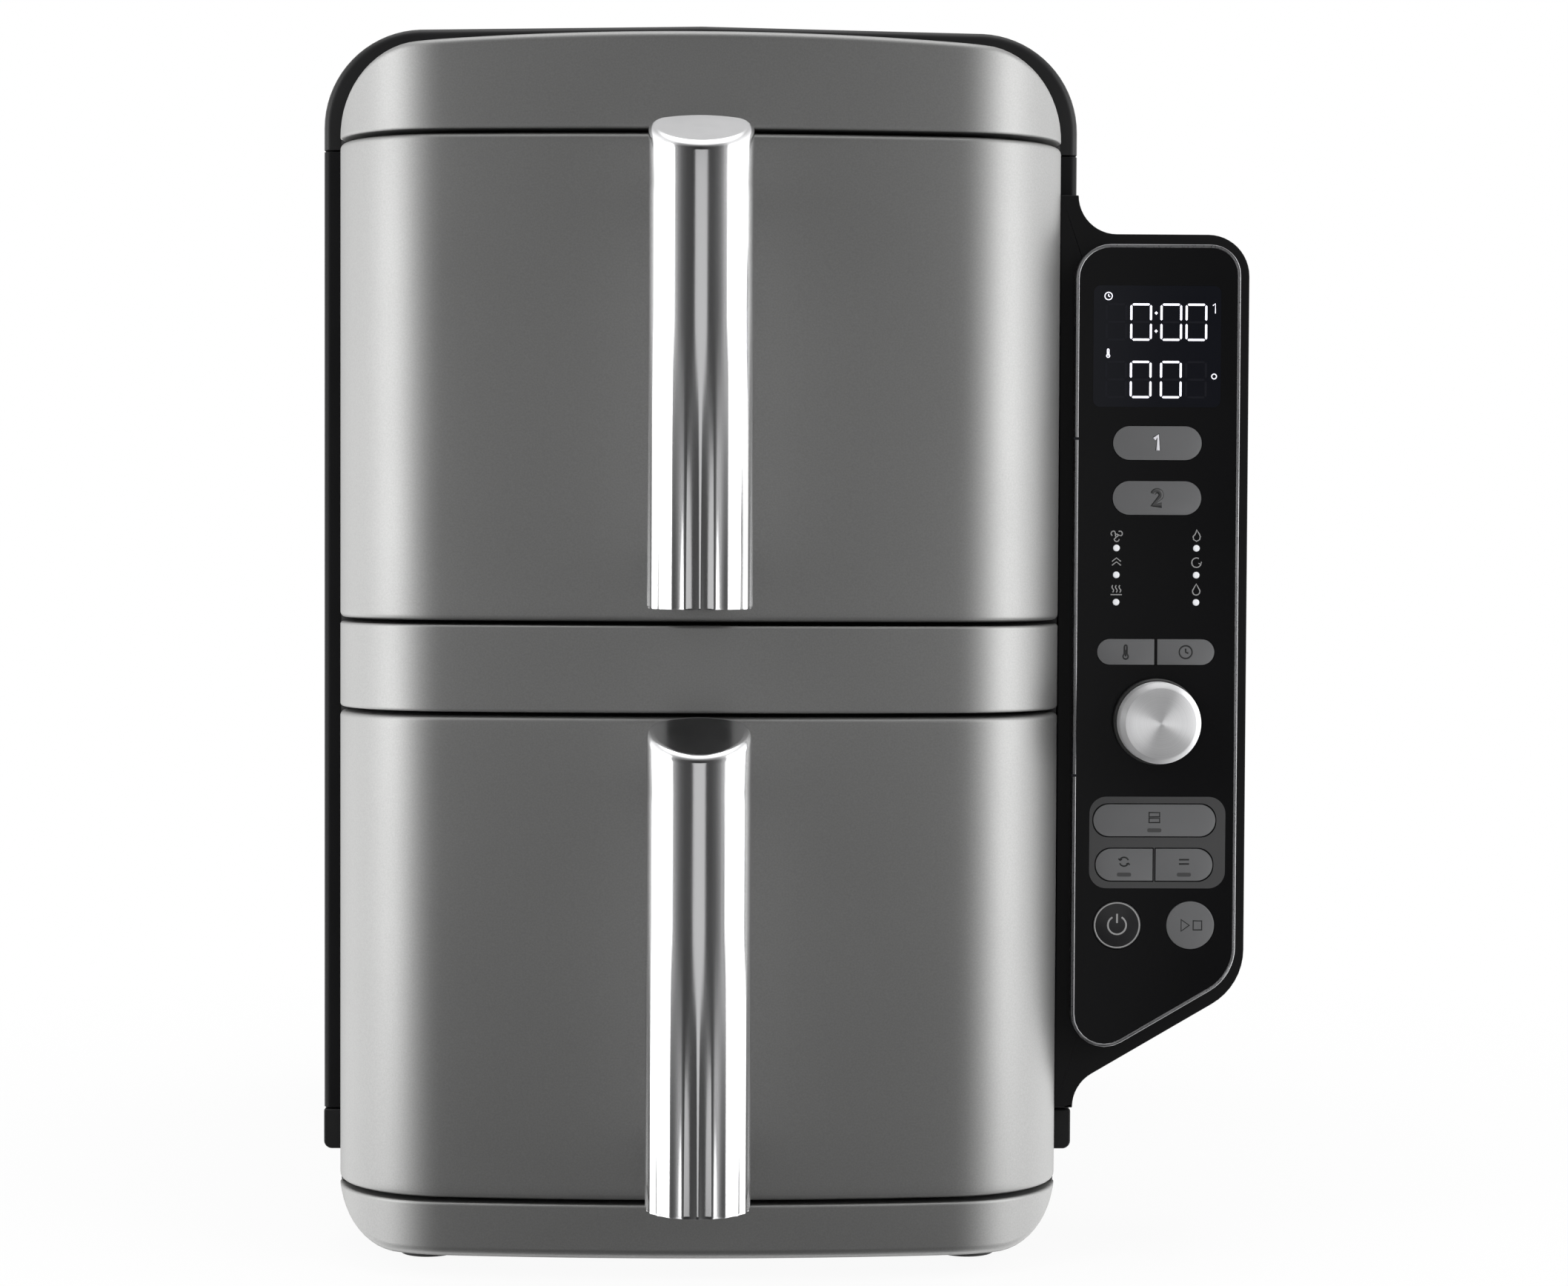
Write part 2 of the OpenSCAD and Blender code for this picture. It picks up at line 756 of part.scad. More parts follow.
// Switches that stop the fans when a drawer is pulled out
door_switch = [20, 9, 8];
door_switch_x = runner_span / 2 - 15;

module drawer_switches() {
    color("black") for (z = drawer_zs)
        translate([door_switch_x - door_switch[0] / 2, frame_back,
            z + sill_h + window_h + liner_flange + 2]) cube(door_switch);
}

module heaters() {
    color("gray") for (z = fan_zs) {
        translate([0, heater_y, z]) rotate([90, 0, 0])
            rotate_extrude() translate([heater_r, 0]) circle(r = heater_tube_r);
        for (s = [-1, 1])
            rod(heater_tube_r - 0.2, heater_y, cavity_back + 9 - heater_y,
                s * heater_legs / 2, z + leg_rise);
    }
}

guard_rows = 9;

module fan_guards() {
    half = window_w / 2 - touch;
    slot_step = (window_h - 16) / guard_rows;
    color("silver") for (z = drawer_zs) difference() {
        box([-half, guard_y, z + sill_h + touch], [half, guard_y + guard_t, z + sill_h + window_h - touch]);
        for (i = [0:guard_rows - 1], x = [-1, 0, 1])
            box([x * 62 - 27, guard_y - over, z + sill_h + 8 + (i + 0.2) * slot_step],
                [x * 62 + 27, guard_y + over, z + sill_h + 8 + (i + 0.8) * slot_step]);
    }
}

// Cutouts on the back of each liner, clear of the motor plate
cutout_r = 7;
cutout_l = 4;
cutout_in = 30.5;
cutout_x = window_w / 2 - cutout_in;
cutout_rise = motor_r + 2;

module thermal_cutouts() {
    color("tan") for (z = fan_zs) {
        rod(cutout_r, cavity_back + liner_t, cutout_l, cutout_x, z + cutout_rise);
        rod(cutout_r - 3, cavity_back + liner_t + cutout_l, cutout_l, cutout_x, z + cutout_rise);
    }
}

// ---- Motors and fans ----

module motors() {
    color("slategray") for (z = fan_zs) difference() {
        rod(motor_r, motor_y, motor_l, 0, z);
        rod(rotor_r + rotor_gap, motor_y + bearing_l, motor_l - 2 * bearing_l, 0, z);
        rod(bearing_r, motor_y - over, motor_l + 2 * over, 0, z);
    }
}

module motor_bearings() {
    color("goldenrod") for (z = fan_zs, y = [motor_y, motor_end - bearing_l]) difference() {
        rod(bearing_r, y, bearing_l, 0, z);
        rod(shaft_r + bearing_fit, y - over, bearing_l + 2 * over, 0, z);
    }
}

module motor_brackets() {
    reach = motor_r + 8;
    color("silver") for (z = fan_zs) difference() {
        union() {
            box([-reach, bracket_y, z - reach], [reach, bracket_y + bracket_t, z + reach]);
            for (sx = [-1, 1], sz = [-1, 1])
                rod(3.5, cavity_back + liner_t, bracket_gap - liner_t + bracket_t / 2,
                    sx * (reach - 5), z + sz * (reach - 5));
        }
        rod(bearing_r + 2, bracket_y - over, bracket_t + 2 * over, 0, z);
    }
}

// The shaft with the motor's rotor on it
module rotor(z) {
    color("silver") {
        rod(shaft_r, shaft_start, shaft_end - shaft_start, 0, z);
        rod(rotor_r, motor_y + bearing_l + rotor_gap, motor_l - 2 * bearing_l - 2 * rotor_gap, 0, z);
    }
}

// A disc with straight blades on the side given by away
module fan(z, r, y, depth, disc_y) {
    difference() {
        union() {
            rod(r, disc_y, fan_disc, 0, z);
            rod(hub_r, y, depth, 0, z);
            for (i = [0:fan_blades - 1])
                translate([0, 0, z]) rotate([0, i * 360 / fan_blades, 0])
                    box([hub_r - 1, y, -0.6], [r - 1, y + depth, 0.6]);
        }
        rod(shaft_r, y - over, depth + 2 * over, 0, z);
    }
}

module hot_fan(z) {
    color("lightsteelblue") fan(z, hot_fan_r, hot_fan_y, hot_fan_d, hot_fan_y + hot_fan_d - fan_disc);
}

module cool_fan(z) {
    color([0.2, 0.2, 0.2]) fan(z, cool_fan_r, cool_fan_y, cool_fan_d, cool_fan_y);
}

module upper_impeller() {
    hot_fan(fan_zs[1]);
}

module lower_impeller() {
    hot_fan(fan_zs[0]);
}

module upper_rotor() {
    rotor(fan_zs[1]);
}

module lower_rotor() {
    rotor(fan_zs[0]);
}

module upper_cooling_fan() {
    cool_fan(fan_zs[1]);
}

module lower_cooling_fan() {
    cool_fan(fan_zs[0]);
}

module power_board() {
    parts = [[10, 12, 26, 30, 12], [42, 12, 20, 16, 10], [70, 10, 16, 28, 12], [92, 40, 20, 20, 8],
        [14, 52, 30, 24, 11], [54, 46, 24, 30, 9]];
    color("seagreen") translate([board_pos[0], board_pos[1], board_z]) {
        cube([board_size[0], board_size[1], board_t]);
        for (p = parts) translate([p[0], p[1], board_t]) cube([p[2], p[3], p[4]]);
    }
}

// ---- Pod ----

// Depth of the opening that takes the wires into the body
wire_hole = 24;

module pod_housing() {
    color([0.1, 0.1, 0.1]) difference() {
        union() {
            upright(pod_y, pod_d) pod_outline(body_half);
            upright(pod_y, frame_back - pod_y) pod_outline(apron_x);
        }
        difference() {
            upright(pod_y + pod_wall, pod_d - 2 * pod_wall) pod_outline(body_half, pod_wall);
            box([0, 0, 0], [body_half + pod_wall, body_d, body_top]);
        }
        upright(pod_y - over, pod_wall + 2 * over) intersection() {
            fascia_outline(4);
            translate([body_half + pod_wall, 0]) square([body_w, body_top]);
        }
        box([body_half - over, pod_y + pod_d / 2 - wire_hole / 2, strip_z],
            [body_half + pod_wall + over, pod_y + pod_d / 2 + wire_hole / 2, strip_z + strip_h]);
    }
}

module fascia_trim() {
    color("gray") upright(fascia_y, fascia_rise) difference() {
        fascia_outline();
        fascia_outline(trim_w);
    }
}

// Outline of a key about its own middle, with each end round or square
module pill(w, h, round_left, round_right) {
    left = round_left ? h / 2 : 0;
    right = round_right ? h / 2 : 0;
    if (w > left + right) translate([left - w / 2, -h / 2]) square([w - left - right, h]);
    if (round_left) translate([left - w / 2, 0]) circle(r = h / 2);
    if (round_right) translate([w / 2 - right, 0]) circle(r = h / 2);
}

half_key_w = (pair_w - pair_gap) / 2;
half_key_x = (half_key_w + pair_gap) / 2;

// Every key: x from the fascia's middle line, z, width, height, round ends
KEY_ONE = [0, key_zs[0], number_key_w, number_key_h, true, true];
KEY_TWO = [0, key_zs[1], number_key_w, number_key_h, true, true];
KEY_TEMP = [-half_key_x, upper_pair_z, half_key_w, upper_pair_h, true, false];
KEY_TIME = [half_key_x, upper_pair_z, half_key_w, upper_pair_h, false, true];
KEY_WIDE = [0, wide_key_z, pair_w + 1.6, wide_key_h, true, true];
KEY_SYNC = [-half_key_x, lower_pair_z, half_key_w, wide_key_h, true, false];
KEY_MATCH = [half_key_x, lower_pair_z, half_key_w, wide_key_h, false, true];
KEY_POWER = [-round_key_x, round_key_z, round_key, round_key, true, true];
KEY_START = [round_key_x, round_key_z, round_key, round_key, true, true];
KEYS = [KEY_ONE, KEY_TWO, KEY_TEMP, KEY_TIME, KEY_WIDE, KEY_SYNC, KEY_MATCH, KEY_POWER, KEY_START];

module key_outline(k, grow_w = 0, grow_h = 0) {
    translate([fascia_mid + k[0], k[1]]) pill(k[2] + grow_w, k[3] + grow_h, k[4], k[5]);
}

module key(k) {
    color([0.4, 0.4, 0.41]) {
        upright(key_face, fascia_back + touch - key_face) key_outline(k);
        upright(fascia_back + touch, key_flange_t)
            key_outline(k, k[2] > k[3] ? -2 * key_clear : 2 * key_flange, 2 * key_flange);
        rod(key_stem_r, fascia_back + touch,
            board_y - switch_h - key_travel - key_rest - fascia_back - touch, fascia_mid + k[0], k[1]);
    }
}

module key_one() {
    key(KEY_ONE);
}

module key_two() {
    key(KEY_TWO);
}

module key_temp() {
    key(KEY_TEMP);
}

module key_time() {
    key(KEY_TIME);
}

module key_wide() {
    key(KEY_WIDE);
}

module key_sync() {
    key(KEY_SYNC);
}

module key_match() {
    key(KEY_MATCH);
}

module key_power() {
    key(KEY_POWER);
}

module key_start() {
    key(KEY_START);
}

fascia_post_in = 5;
fascia_post_zs = [board_top - fascia_post_in, board_low + fascia_post_in];

module pod_fascia() {
    color([0.09, 0.09, 0.09]) difference() {
        union() {
            upright(fascia_face, fascia_t) fascia_outline(trim_w);
            upright(fascia_back - over, pod_y - fascia_back + over) difference() {
                fascia_outline(trim_w);
                fascia_outline(trim_w + 2);
            }
            for (s = [-1, 1], z = fascia_post_zs)
                rod(1.6, fascia_back - over, board_y - fascia_back + over,
                    fascia_mid + s * (board_half - 2), z);
        }
        for (k = KEYS) upright(fascia_face - over, fascia_t + 2 * over)
            key_outline(k, 2 * key_clear, 2 * key_clear);
        for (s = [-1, 1], z = light_rows)
            rod(light_dia / 2 + 0.1, fascia_face - over, fascia_t + 2 * over, fascia_mid + s * light_x, z);
        rod(bushing_r + 0.2, fascia_face - over, fascia_t + 2 * over, fascia_mid, dial_z);
    }
}

module display_module() {
    half = display_half - 1;
    high = fascia_top - display_drop - 1;
    color([0.15, 0.15, 0.2]) box([fascia_mid - half, fascia_back + touch, high - display_h + 2],
        [fascia_mid + half, board_y, high]);
}

module control_board() {
    color("seagreen") box([fascia_mid - board_half, board_y, board_low],
        [fascia_mid + board_half, board_y + board_t, board_top]);
    color("black") for (k = KEYS)
        box([fascia_mid + k[0] - 3, board_y - switch_h, k[1] - 3],
            [fascia_mid + k[0] + 3, board_y + board_t / 2, k[1] + 3]);
}

module light_pipes() {
    color("white") for (s = [-1, 1], z = light_rows)
        rod(light_dia / 2, fascia_face - 0.1, board_y - fascia_face + 0.1, fascia_mid + s * light_x, z);
}

module encoder() {
    color("silver") difference() {
        union() {
            box([fascia_mid - encoder_w / 2, board_y - encoder_d, dial_z - encoder_w / 2],
                [fascia_mid + encoder_w / 2, board_y, dial_z + encoder_w / 2]);
            rod(bushing_r, fascia_face + 0.5, board_y - encoder_d - fascia_face, fascia_mid, dial_z);
        }
        rod(dial_shaft_r + bearing_fit, fascia_face - over, board_y - fascia_face - 1, fascia_mid, dial_z);
    }
}

module dial_shaft() {
    color("gray") rod(dial_shaft_r, dial_face + 3, board_y - 3 - dial_face - 3, fascia_mid, dial_z);
}

module dial_cap() {
    lip = 1.6;
    back = fascia_face - dial_gap - skirt_d;
    color("silver") translate([fascia_mid, 0, dial_z]) rotate([-90, 0, 0]) difference() {
        translate([0, 0, dial_face]) rotate_extrude() polygon([[0, 0], [dial_dia / 2 - lip, 0],
            [dial_dia / 2, lip], [dial_dia / 2, back - dial_face], [0, back - dial_face]]);
        translate([0, 0, dial_face + 2]) cylinder(r = dial_dia / 2 - 2, h = dial_h);
    }
}

module dial_skirt() {
    back = fascia_face - dial_gap;
    hub = dial_dia / 2 - 2;
    color([0.06, 0.06, 0.06]) difference() {
        union() {
            rod(skirt_r, back - skirt_d, skirt_d, fascia_mid, dial_z);
            rod(hub, dial_face + 2, back - dial_face - 2, fascia_mid, dial_z);
        }
        rod(dial_shaft_r, dial_face + 3, dial_h, fascia_mid, dial_z);
    }
}

// ---- Drawers ----

module drawer_front(z) {
    reach = frame_y - slack;
    color("dimgray") {
        difference() {
            translate([0, 0, z]) linear_extrude(drawer_h) front_plan(reach);
            translate([0, 0, z + front_wall]) linear_extrude(drawer_h - 2 * front_wall)
                front_plan(reach + over, front_wall);
        }
        for (s = [-1, 1], dz = [post_in, drawer_h - post_in])
            rod(post_r, post_y, flange_y - post_y, s * post_x, z + dz);
    }
}

// The pan: a flange that closes the drawer front, and the box behind it
module basket(z) {
    back = basket_back - flange_y;
    mid = flange_y + back / 2;
    low = z + basket_floor;
    inner = basket_w - 2 * basket_wall;
    inner_r = basket_corner_r - basket_wall;
    color([0.25, 0.25, 0.26]) difference() {
        union() {
            box([front_wall + touch - front_half, flange_y, z + front_wall + touch],
                [front_half - front_wall - touch, flange_y + basket_wall,
                    z + drawer_h - front_wall - touch]);
            translate([0, mid, low]) linear_extrude(basket_h) soft_rect(basket_w, back, basket_corner_r);
            box([-basket_w / 2, flange_y, low],
                [basket_w / 2, flange_y + basket_corner_r, low + basket_h]);
        }
        translate([0, mid, low + basket_wall]) linear_extrude(basket_h)
            soft_rect(inner, back - 2 * basket_wall, inner_r);
        box([basket_corner_r - basket_w / 2, basket_back - basket_corner_r, low + basket_rear_h],
            [basket_w / 2 - basket_corner_r, basket_back + over, low + basket_h + over]);
    }
}

// Grip section in plan: a half-round front and a shallower round back
module grip(inset = 0) {
    intersection() {
        translate([0, grip_mid]) circle(r = grip_r - inset);
        translate([-handle_w, grip_front]) square([2 * handle_w, grip_r]);
    }
    translate([0, grip_back]) mirror([0, 1])
        bowed(grip_r, grip_back_d, grip_bow_r, grip_back_r, inset);
    translate([inset - grip_r, grip_mid - over]) square([2 * (grip_r - inset), 0.1 + over]);
}

module handle_cover(z) {
    low = z + handle_z_up;
    color("silver") difference() {
        translate([0, 0, low]) linear_extrude(handle_back_h) grip();
        translate([0, grip_front, low + handle_front_h]) rotate([handle_slant, 0, 0])
            box([-handle_w, -handle_d, 0], [handle_w, 2 * handle_d, handle_d]);
        translate([0, 0, low + handle_wall]) linear_extrude(handle_front_h - 3 * handle_wall)
            grip(handle_wall);
        box([-arm_w / 2 - core_clear, grip_mid, low + handle_wall],
            [arm_w / 2 + core_clear, grip_back + over, low + handle_front_h - 2 * handle_wall]);
    }
}

module handle_core(z) {
    low = z + handle_z_up + handle_wall + core_clear;
    high = z + handle_z_up + handle_front_h - 2 * handle_wall - core_clear;
    color([0.1, 0.1, 0.1]) {
        translate([0, 0, low]) linear_extrude(high - low) grip(handle_wall + core_clear);
        for (arm_z = [low, high - arm_h])
            box([-arm_w / 2, grip_back - handle_wall - over, arm_z], [arm_w / 2, 0, arm_z + arm_h]);
        box([-arm_w / 2, grip_back - handle_wall - over, low], [arm_w / 2, grip_back, high]);
    }
}

// Perforated plate that keeps the food off the basket floor
module crisper_plate(z) {
    low = z + plate_floor;
    edge = 3;
    w = basket_w - 2 * basket_wall - 2 * edge;
    d = basket_back - flange_y - 2 * basket_wall - 2 * edge;
    columns = floor((w / 2 - 10) / plate_pitch);
    rows = floor((d / 2 - 10) / plate_pitch);
    mid = (flange_y + basket_back) / 2;
    color([0.3, 0.3, 0.31]) translate([0, mid, low]) difference() {
        linear_extrude(plate_t) soft_rect(w, d, basket_corner_r - edge);
        for (i = [-columns:columns], j = [-rows:rows])
            translate([i * plate_pitch, j * plate_pitch, -over])
                cylinder(r = plate_hole / 2, h = plate_t + 2 * over, $fn = 24);
    }
}

// Four soft bumpers that carry the plate near its corners
module plate_bumpers(z) {
    low = z + basket_floor + basket_wall + touch;
    dx = basket_w / 2 - 22;
    dy = (basket_back - flange_y) / 2 - 22;
    mid = (flange_y + basket_back) / 2;
    color("firebrick") for (sx = [-1, 1], sy = [-1, 1])
        translate([sx * dx, mid + sy * dy, low]) cylinder(r = 5, h = plate_rise - touch);
}

module upper_drawer_front() {
    drawer_front(upper_z);
}

module upper_basket() {
    basket(upper_z);
}

module upper_handle() {
    handle_cover(upper_z);
}

module upper_handle_core() {
    handle_core(upper_z);
}

module upper_crisper_plate() {
    crisper_plate(upper_z);
}

module upper_plate_bumpers() {
    plate_bumpers(upper_z);
}

module lower_drawer_front() {
    drawer_front(lower_z);
}

module lower_basket() {
    basket(lower_z);
}

module lower_handle() {
    handle_cover(lower_z);
}

module lower_handle_core() {
    handle_core(lower_z);
}

module lower_crisper_plate() {
    crisper_plate(lower_z);
}

module lower_plate_bumpers() {
    plate_bumpers(lower_z);
}

placed() front_bezel();
placed() top_cover();
placed() left_side_panel();
placed() right_side_panel();
placed() left_skirt();
placed() right_skirt();
placed() base_tray();
placed() feet();
placed() rear_cover();
placed() housing_screws();
placed() upper_liner();
placed() lower_liner();
placed() divider_shield();
placed() drawer_runners();
placed() drawer_switches();
placed() heaters();
placed() fan_guards();
placed() motors();
placed() motor_brackets();
placed() motor_bearings();
placed() thermal_cutouts();
placed() power_board();
placed() inlet_gland();
placed() upper_impeller();
placed() upper_rotor();
placed() upper_cooling_fan();
placed() lower_impeller();
placed() lower_rotor();
placed() lower_cooling_fan();
placed() pod_housing();
placed() fascia_trim();
placed() pod_fascia();
placed() display_module();
placed() control_board();
placed() light_pipes();
placed() encoder();
placed() dial_cap();
placed() dial_skirt();
placed() dial_shaft();
placed() key_one();
placed() key_two();
placed() key_temp();
placed() key_time();
placed() key_wide();
placed() key_sync();
placed() key_match();
placed() key_power();
placed() key_start();
placed() upper_drawer_front();
placed() upper_basket();
placed() upper_handle();
placed() upper_handle_core();
placed() upper_crisper_plate();
placed() upper_plate_bumpers();
placed() lower_drawer_front();
placed() lower_basket();
placed() lower_handle();
placed() lower_handle_core();
placed() lower_crisper_plate();
placed() lower_plate_bumpers();
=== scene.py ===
import math
import bmesh
import bpy
from bmesh.types import BMEdge, BMFace, BMVert
from mathutils import Matrix, Vector


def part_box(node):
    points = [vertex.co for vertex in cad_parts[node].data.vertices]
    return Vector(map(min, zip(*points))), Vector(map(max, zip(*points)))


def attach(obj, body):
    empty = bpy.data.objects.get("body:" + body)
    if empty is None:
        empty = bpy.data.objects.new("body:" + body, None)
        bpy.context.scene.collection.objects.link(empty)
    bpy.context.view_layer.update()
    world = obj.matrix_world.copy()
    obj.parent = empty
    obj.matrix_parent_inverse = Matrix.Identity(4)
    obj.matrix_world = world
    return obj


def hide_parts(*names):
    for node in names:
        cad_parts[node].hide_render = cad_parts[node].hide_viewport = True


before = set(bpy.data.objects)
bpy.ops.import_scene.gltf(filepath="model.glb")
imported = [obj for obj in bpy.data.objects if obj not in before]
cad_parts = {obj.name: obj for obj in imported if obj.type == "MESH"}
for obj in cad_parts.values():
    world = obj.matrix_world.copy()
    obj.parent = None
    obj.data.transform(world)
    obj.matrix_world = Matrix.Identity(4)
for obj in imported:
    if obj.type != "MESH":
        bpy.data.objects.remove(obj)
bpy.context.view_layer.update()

# The base is one black tray on four rubber feet. It carries the power board, and the
# drawers run above it. It is moulded in plastic, and its feet are pressed in from below.

def feed(tree, node, feeds):
    """Gives inputs of a node plain values or the outputs of other nodes."""
    for key, value in feeds.items():
        if isinstance(value, bpy.types.NodeSocket):
            tree.links.new(value, node.inputs[key])
        else:
            node.inputs[key].default_value = value


def add_node(tree, kind, feeds=(), **settings):
    """Adds a shader node with its settings and its inputs."""
    node = tree.nodes.new("ShaderNode" + kind)
    for name, value in settings.items():
        setattr(node, name, value)
    feed(tree, node, dict(feeds))
    return node


def finish_nodes(name, colour, rough, metal=0.0):
    """A new material with its node tree, its shader, and the place on the object in metres."""
    material = bpy.data.materials.new(name)
    material.use_nodes = True
    tree = material.node_tree
    shader = tree.nodes["Principled BSDF"]
    feed(tree, shader, {"Base Color": (*colour, 1), "Roughness": rough, "Metallic": metal})
    return material, tree, shader, add_node(tree, "TexCoord").outputs["Object"]


def noise(tree, place, size, detail=2.0, stretch=(1, 1, 1)):
    """Noise whose blobs are about this many millimetres across."""
    scale = [1000 / size * part for part in stretch]
    turn = add_node(tree, "Mapping", {"Vector": place, "Scale": scale})
    return add_node(tree, "TexNoise", {"Vector": turn.outputs["Vector"], "Scale": 1.0,
                                       "Detail": detail}).outputs["Fac"]


def between(tree, factor, low, high, start=0.3, end=0.7):
    """Spreads a value between two plain numbers."""
    return add_node(tree, "MapRange", {"Value": factor, "From Min": start, "From Max": end,
                                       "To Min": low, "To Max": high}).outputs["Result"]


def tint(tree, factor, low, high):
    """Mixes two colours by a noise."""
    return add_node(tree, "Mix", {"Factor": between(tree, factor, 0, 1), "A": (*low, 1),
                                  "B": (*high, 1)}, data_type="RGBA").outputs["Result"]


def relief(tree, shader, height, depth):
    """Raises a surface by a noise, to a depth in millimetres."""
    bump = add_node(tree, "Bump", {"Height": height, "Distance": depth / 1000, "Strength": 1.0})
    feed(tree, shader, {"Normal": bump.outputs["Normal"]})


def moulded(name, colour, rough, grain=0.35, depth=0.02, paler=1.25, gloss=0.5):
    """Moulded plastic: fine grain, slow drift of shade, and gloss that varies a little."""
    material, tree, shader, place = finish_nodes(name, colour, rough)
    drift = noise(tree, place, 45, 3)
    shade = [part * paler for part in colour]
    feed(tree, shader, {"Base Color": tint(tree, drift, colour, shade),
                        "Roughness": between(tree, drift, rough * 0.9, rough * 1.12),
                        "Specular IOR Level": gloss})
    relief(tree, shader, noise(tree, place, grain), depth)
    return material


def soften(piece, radius, segments=3, angle=35):
    """Rounds every edge sharper than an angle."""
    edge = piece.modifiers.new("edges", "BEVEL")
    edge.width = radius / 1000
    edge.segments = segments
    edge.limit_method = "ANGLE"
    edge.angle_limit = math.radians(angle)
    edge.harden_normals = True


def skin_over(node):
    """Node group that joins a part's loose triangles and lights them as one surface."""
    group = bpy.data.node_groups.get("joined")
    if group is None:
        group = bpy.data.node_groups.new("joined", "GeometryNodeTree")
        group.interface.new_socket("Geometry", in_out="INPUT", socket_type="NodeSocketGeometry")
        group.interface.new_socket("Geometry", in_out="OUTPUT", socket_type="NodeSocketGeometry")
        enter = group.nodes.new("NodeGroupInput")
        weld = group.nodes.new("GeometryNodeMergeByDistance")
        weld.inputs["Distance"].default_value = 0.000005
        smooth = group.nodes.new("GeometryNodeSetShadeSmooth")
        leave = group.nodes.new("NodeGroupOutput")
        group.links.new(enter.outputs[0], weld.inputs["Geometry"])
        group.links.new(weld.outputs["Geometry"], smooth.inputs["Geometry"])
        group.links.new(smooth.outputs["Geometry"], leave.inputs[0])
    node.modifiers.new("joined", "NODES").node_group = group


def dress(material, edge, *names):
    """Gives parts of the frame their finish and, where they show, round edges."""
    for name in names:
        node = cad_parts[name]
        node.data.materials.clear()
        node.data.materials.append(material)
        if edge:
            skin_over(node)
            flat = node.modifiers.new("flat", "DECIMATE")
            flat.decimate_type = "DISSOLVE"
            flat.angle_limit = math.radians(0.5)
            soften(node, edge, 2)


base_black = moulded("base_black", (0.018, 0.018, 0.019), 0.42)
foot_rubber = moulded("foot_rubber", (0.028, 0.028, 0.028), 0.8, 0.6, 0.04)
board_green = moulded("board_green", (0.02, 0.09, 0.04), 0.35, 3.0, 0.03, 1.6)
dress(base_black, 0.6, "base_tray")
dress(foot_rubber, 0.5, "feet")
dress(board_green, 0, "power_board", "control_board")

# Each cavity is a liner of aluminised sheet with a heater, a fan guard, runners and a
# switch at the drawer. A shield lies between the two. The sheet is dull, with a faint lay.

def sheet_metal(name, colour, rough, stretch=(1, 1, 1), scratch=2.0, depth=0.01, paler=0.85):
    """Metal with a lay: noise stretched along one way, in shade, gloss and relief."""
    material, tree, shader, place = finish_nodes(name, colour, rough, 1.0)
    lay = noise(tree, place, scratch, 4, stretch)
    cloud = noise(tree, place, 30, 3)
    shade = [part * paler for part in colour]
    feed(tree, shader, {"Base Color": tint(tree, cloud, colour, shade),
                        "Roughness": between(tree, lay, rough * 0.8, rough * 1.3)})
    relief(tree, shader, lay, depth)
    return material


liner_steel = sheet_metal("liner_steel", (0.55, 0.55, 0.56), 0.42, (0.15, 1, 1), 1.5, 0.012)
heater_steel = sheet_metal("heater_steel", (0.25, 0.24, 0.23), 0.38, (1, 1, 1), 4.0, 0.02, 0.6)
switch_black = moulded("switch_black", (0.03, 0.03, 0.03), 0.5)
dress(liner_steel, 0.4, "upper_liner", "lower_liner", "divider_shield", "drawer_runners")
dress(liner_steel, 0, "fan_guards")
dress(heater_steel, 0, "heaters")
dress(switch_black, 0.3, "drawer_switches", "thermal_cutouts")

# A motor behind each liner turns the hot fan inside and a cooling fan behind. Steel
# can, turned shaft and bearings, pressed aluminium blades, and a plastic cooling fan.
motor_steel = sheet_metal("motor_steel", (0.5, 0.5, 0.51), 0.35, (1, 0.1, 1), 1.0, 0.01)
shaft_steel = sheet_metal("shaft_steel", (0.6, 0.6, 0.61), 0.22, (1, 0.1, 1), 0.6, 0.006)
fan_aluminium = sheet_metal("fan_aluminium", (0.7, 0.7, 0.71), 0.32, (1, 1, 1), 1.2, 0.01)
fan_plastic = moulded("fan_plastic", (0.05, 0.05, 0.05), 0.5)
dress(motor_steel, 0.4, "motors", "motor_brackets")
dress(shaft_steel, 0.2, "upper_rotor", "lower_rotor", "motor_bearings")
dress(fan_aluminium, 0, "upper_impeller", "lower_impeller")
dress(fan_plastic, 0, "upper_cooling_fan", "lower_cooling_fan")

# The front is lacquered grey plastic: three bands and two drawer fronts that share one
# plan, a shallow bow with a round corner at each side. plan_at() walks along that plan.
# Sizes are millimetres from the tip of the bow: x to the right, y backwards, z up.
bow_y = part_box("front_bezel")[0].y
middle_x = (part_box("front_bezel")[0].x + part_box("front_bezel")[1].x) / 2
to_frame = Matrix.Translation((middle_x, bow_y, 0)) @ Matrix.Scale(0.001, 4)
to_sizes = to_frame.inverted()


def span(node):
    """The low and the high corner of a node's box, in sizes."""
    low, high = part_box(node)
    return to_sizes @ low, to_sizes @ high


front_low, front_high = span("front_bezel")
front_half = front_high.x
bow_r = 600
corner_r = 39.5
front_wall = 2.2
corner_x = front_half - corner_r
bow_lean = math.asin(corner_x / (bow_r - corner_r))
corner_y = bow_r - (bow_r - corner_r) * math.cos(bow_lean)
bow_run = bow_r * bow_lean
corner_run = corner_r * (math.pi / 2 - bow_lean)


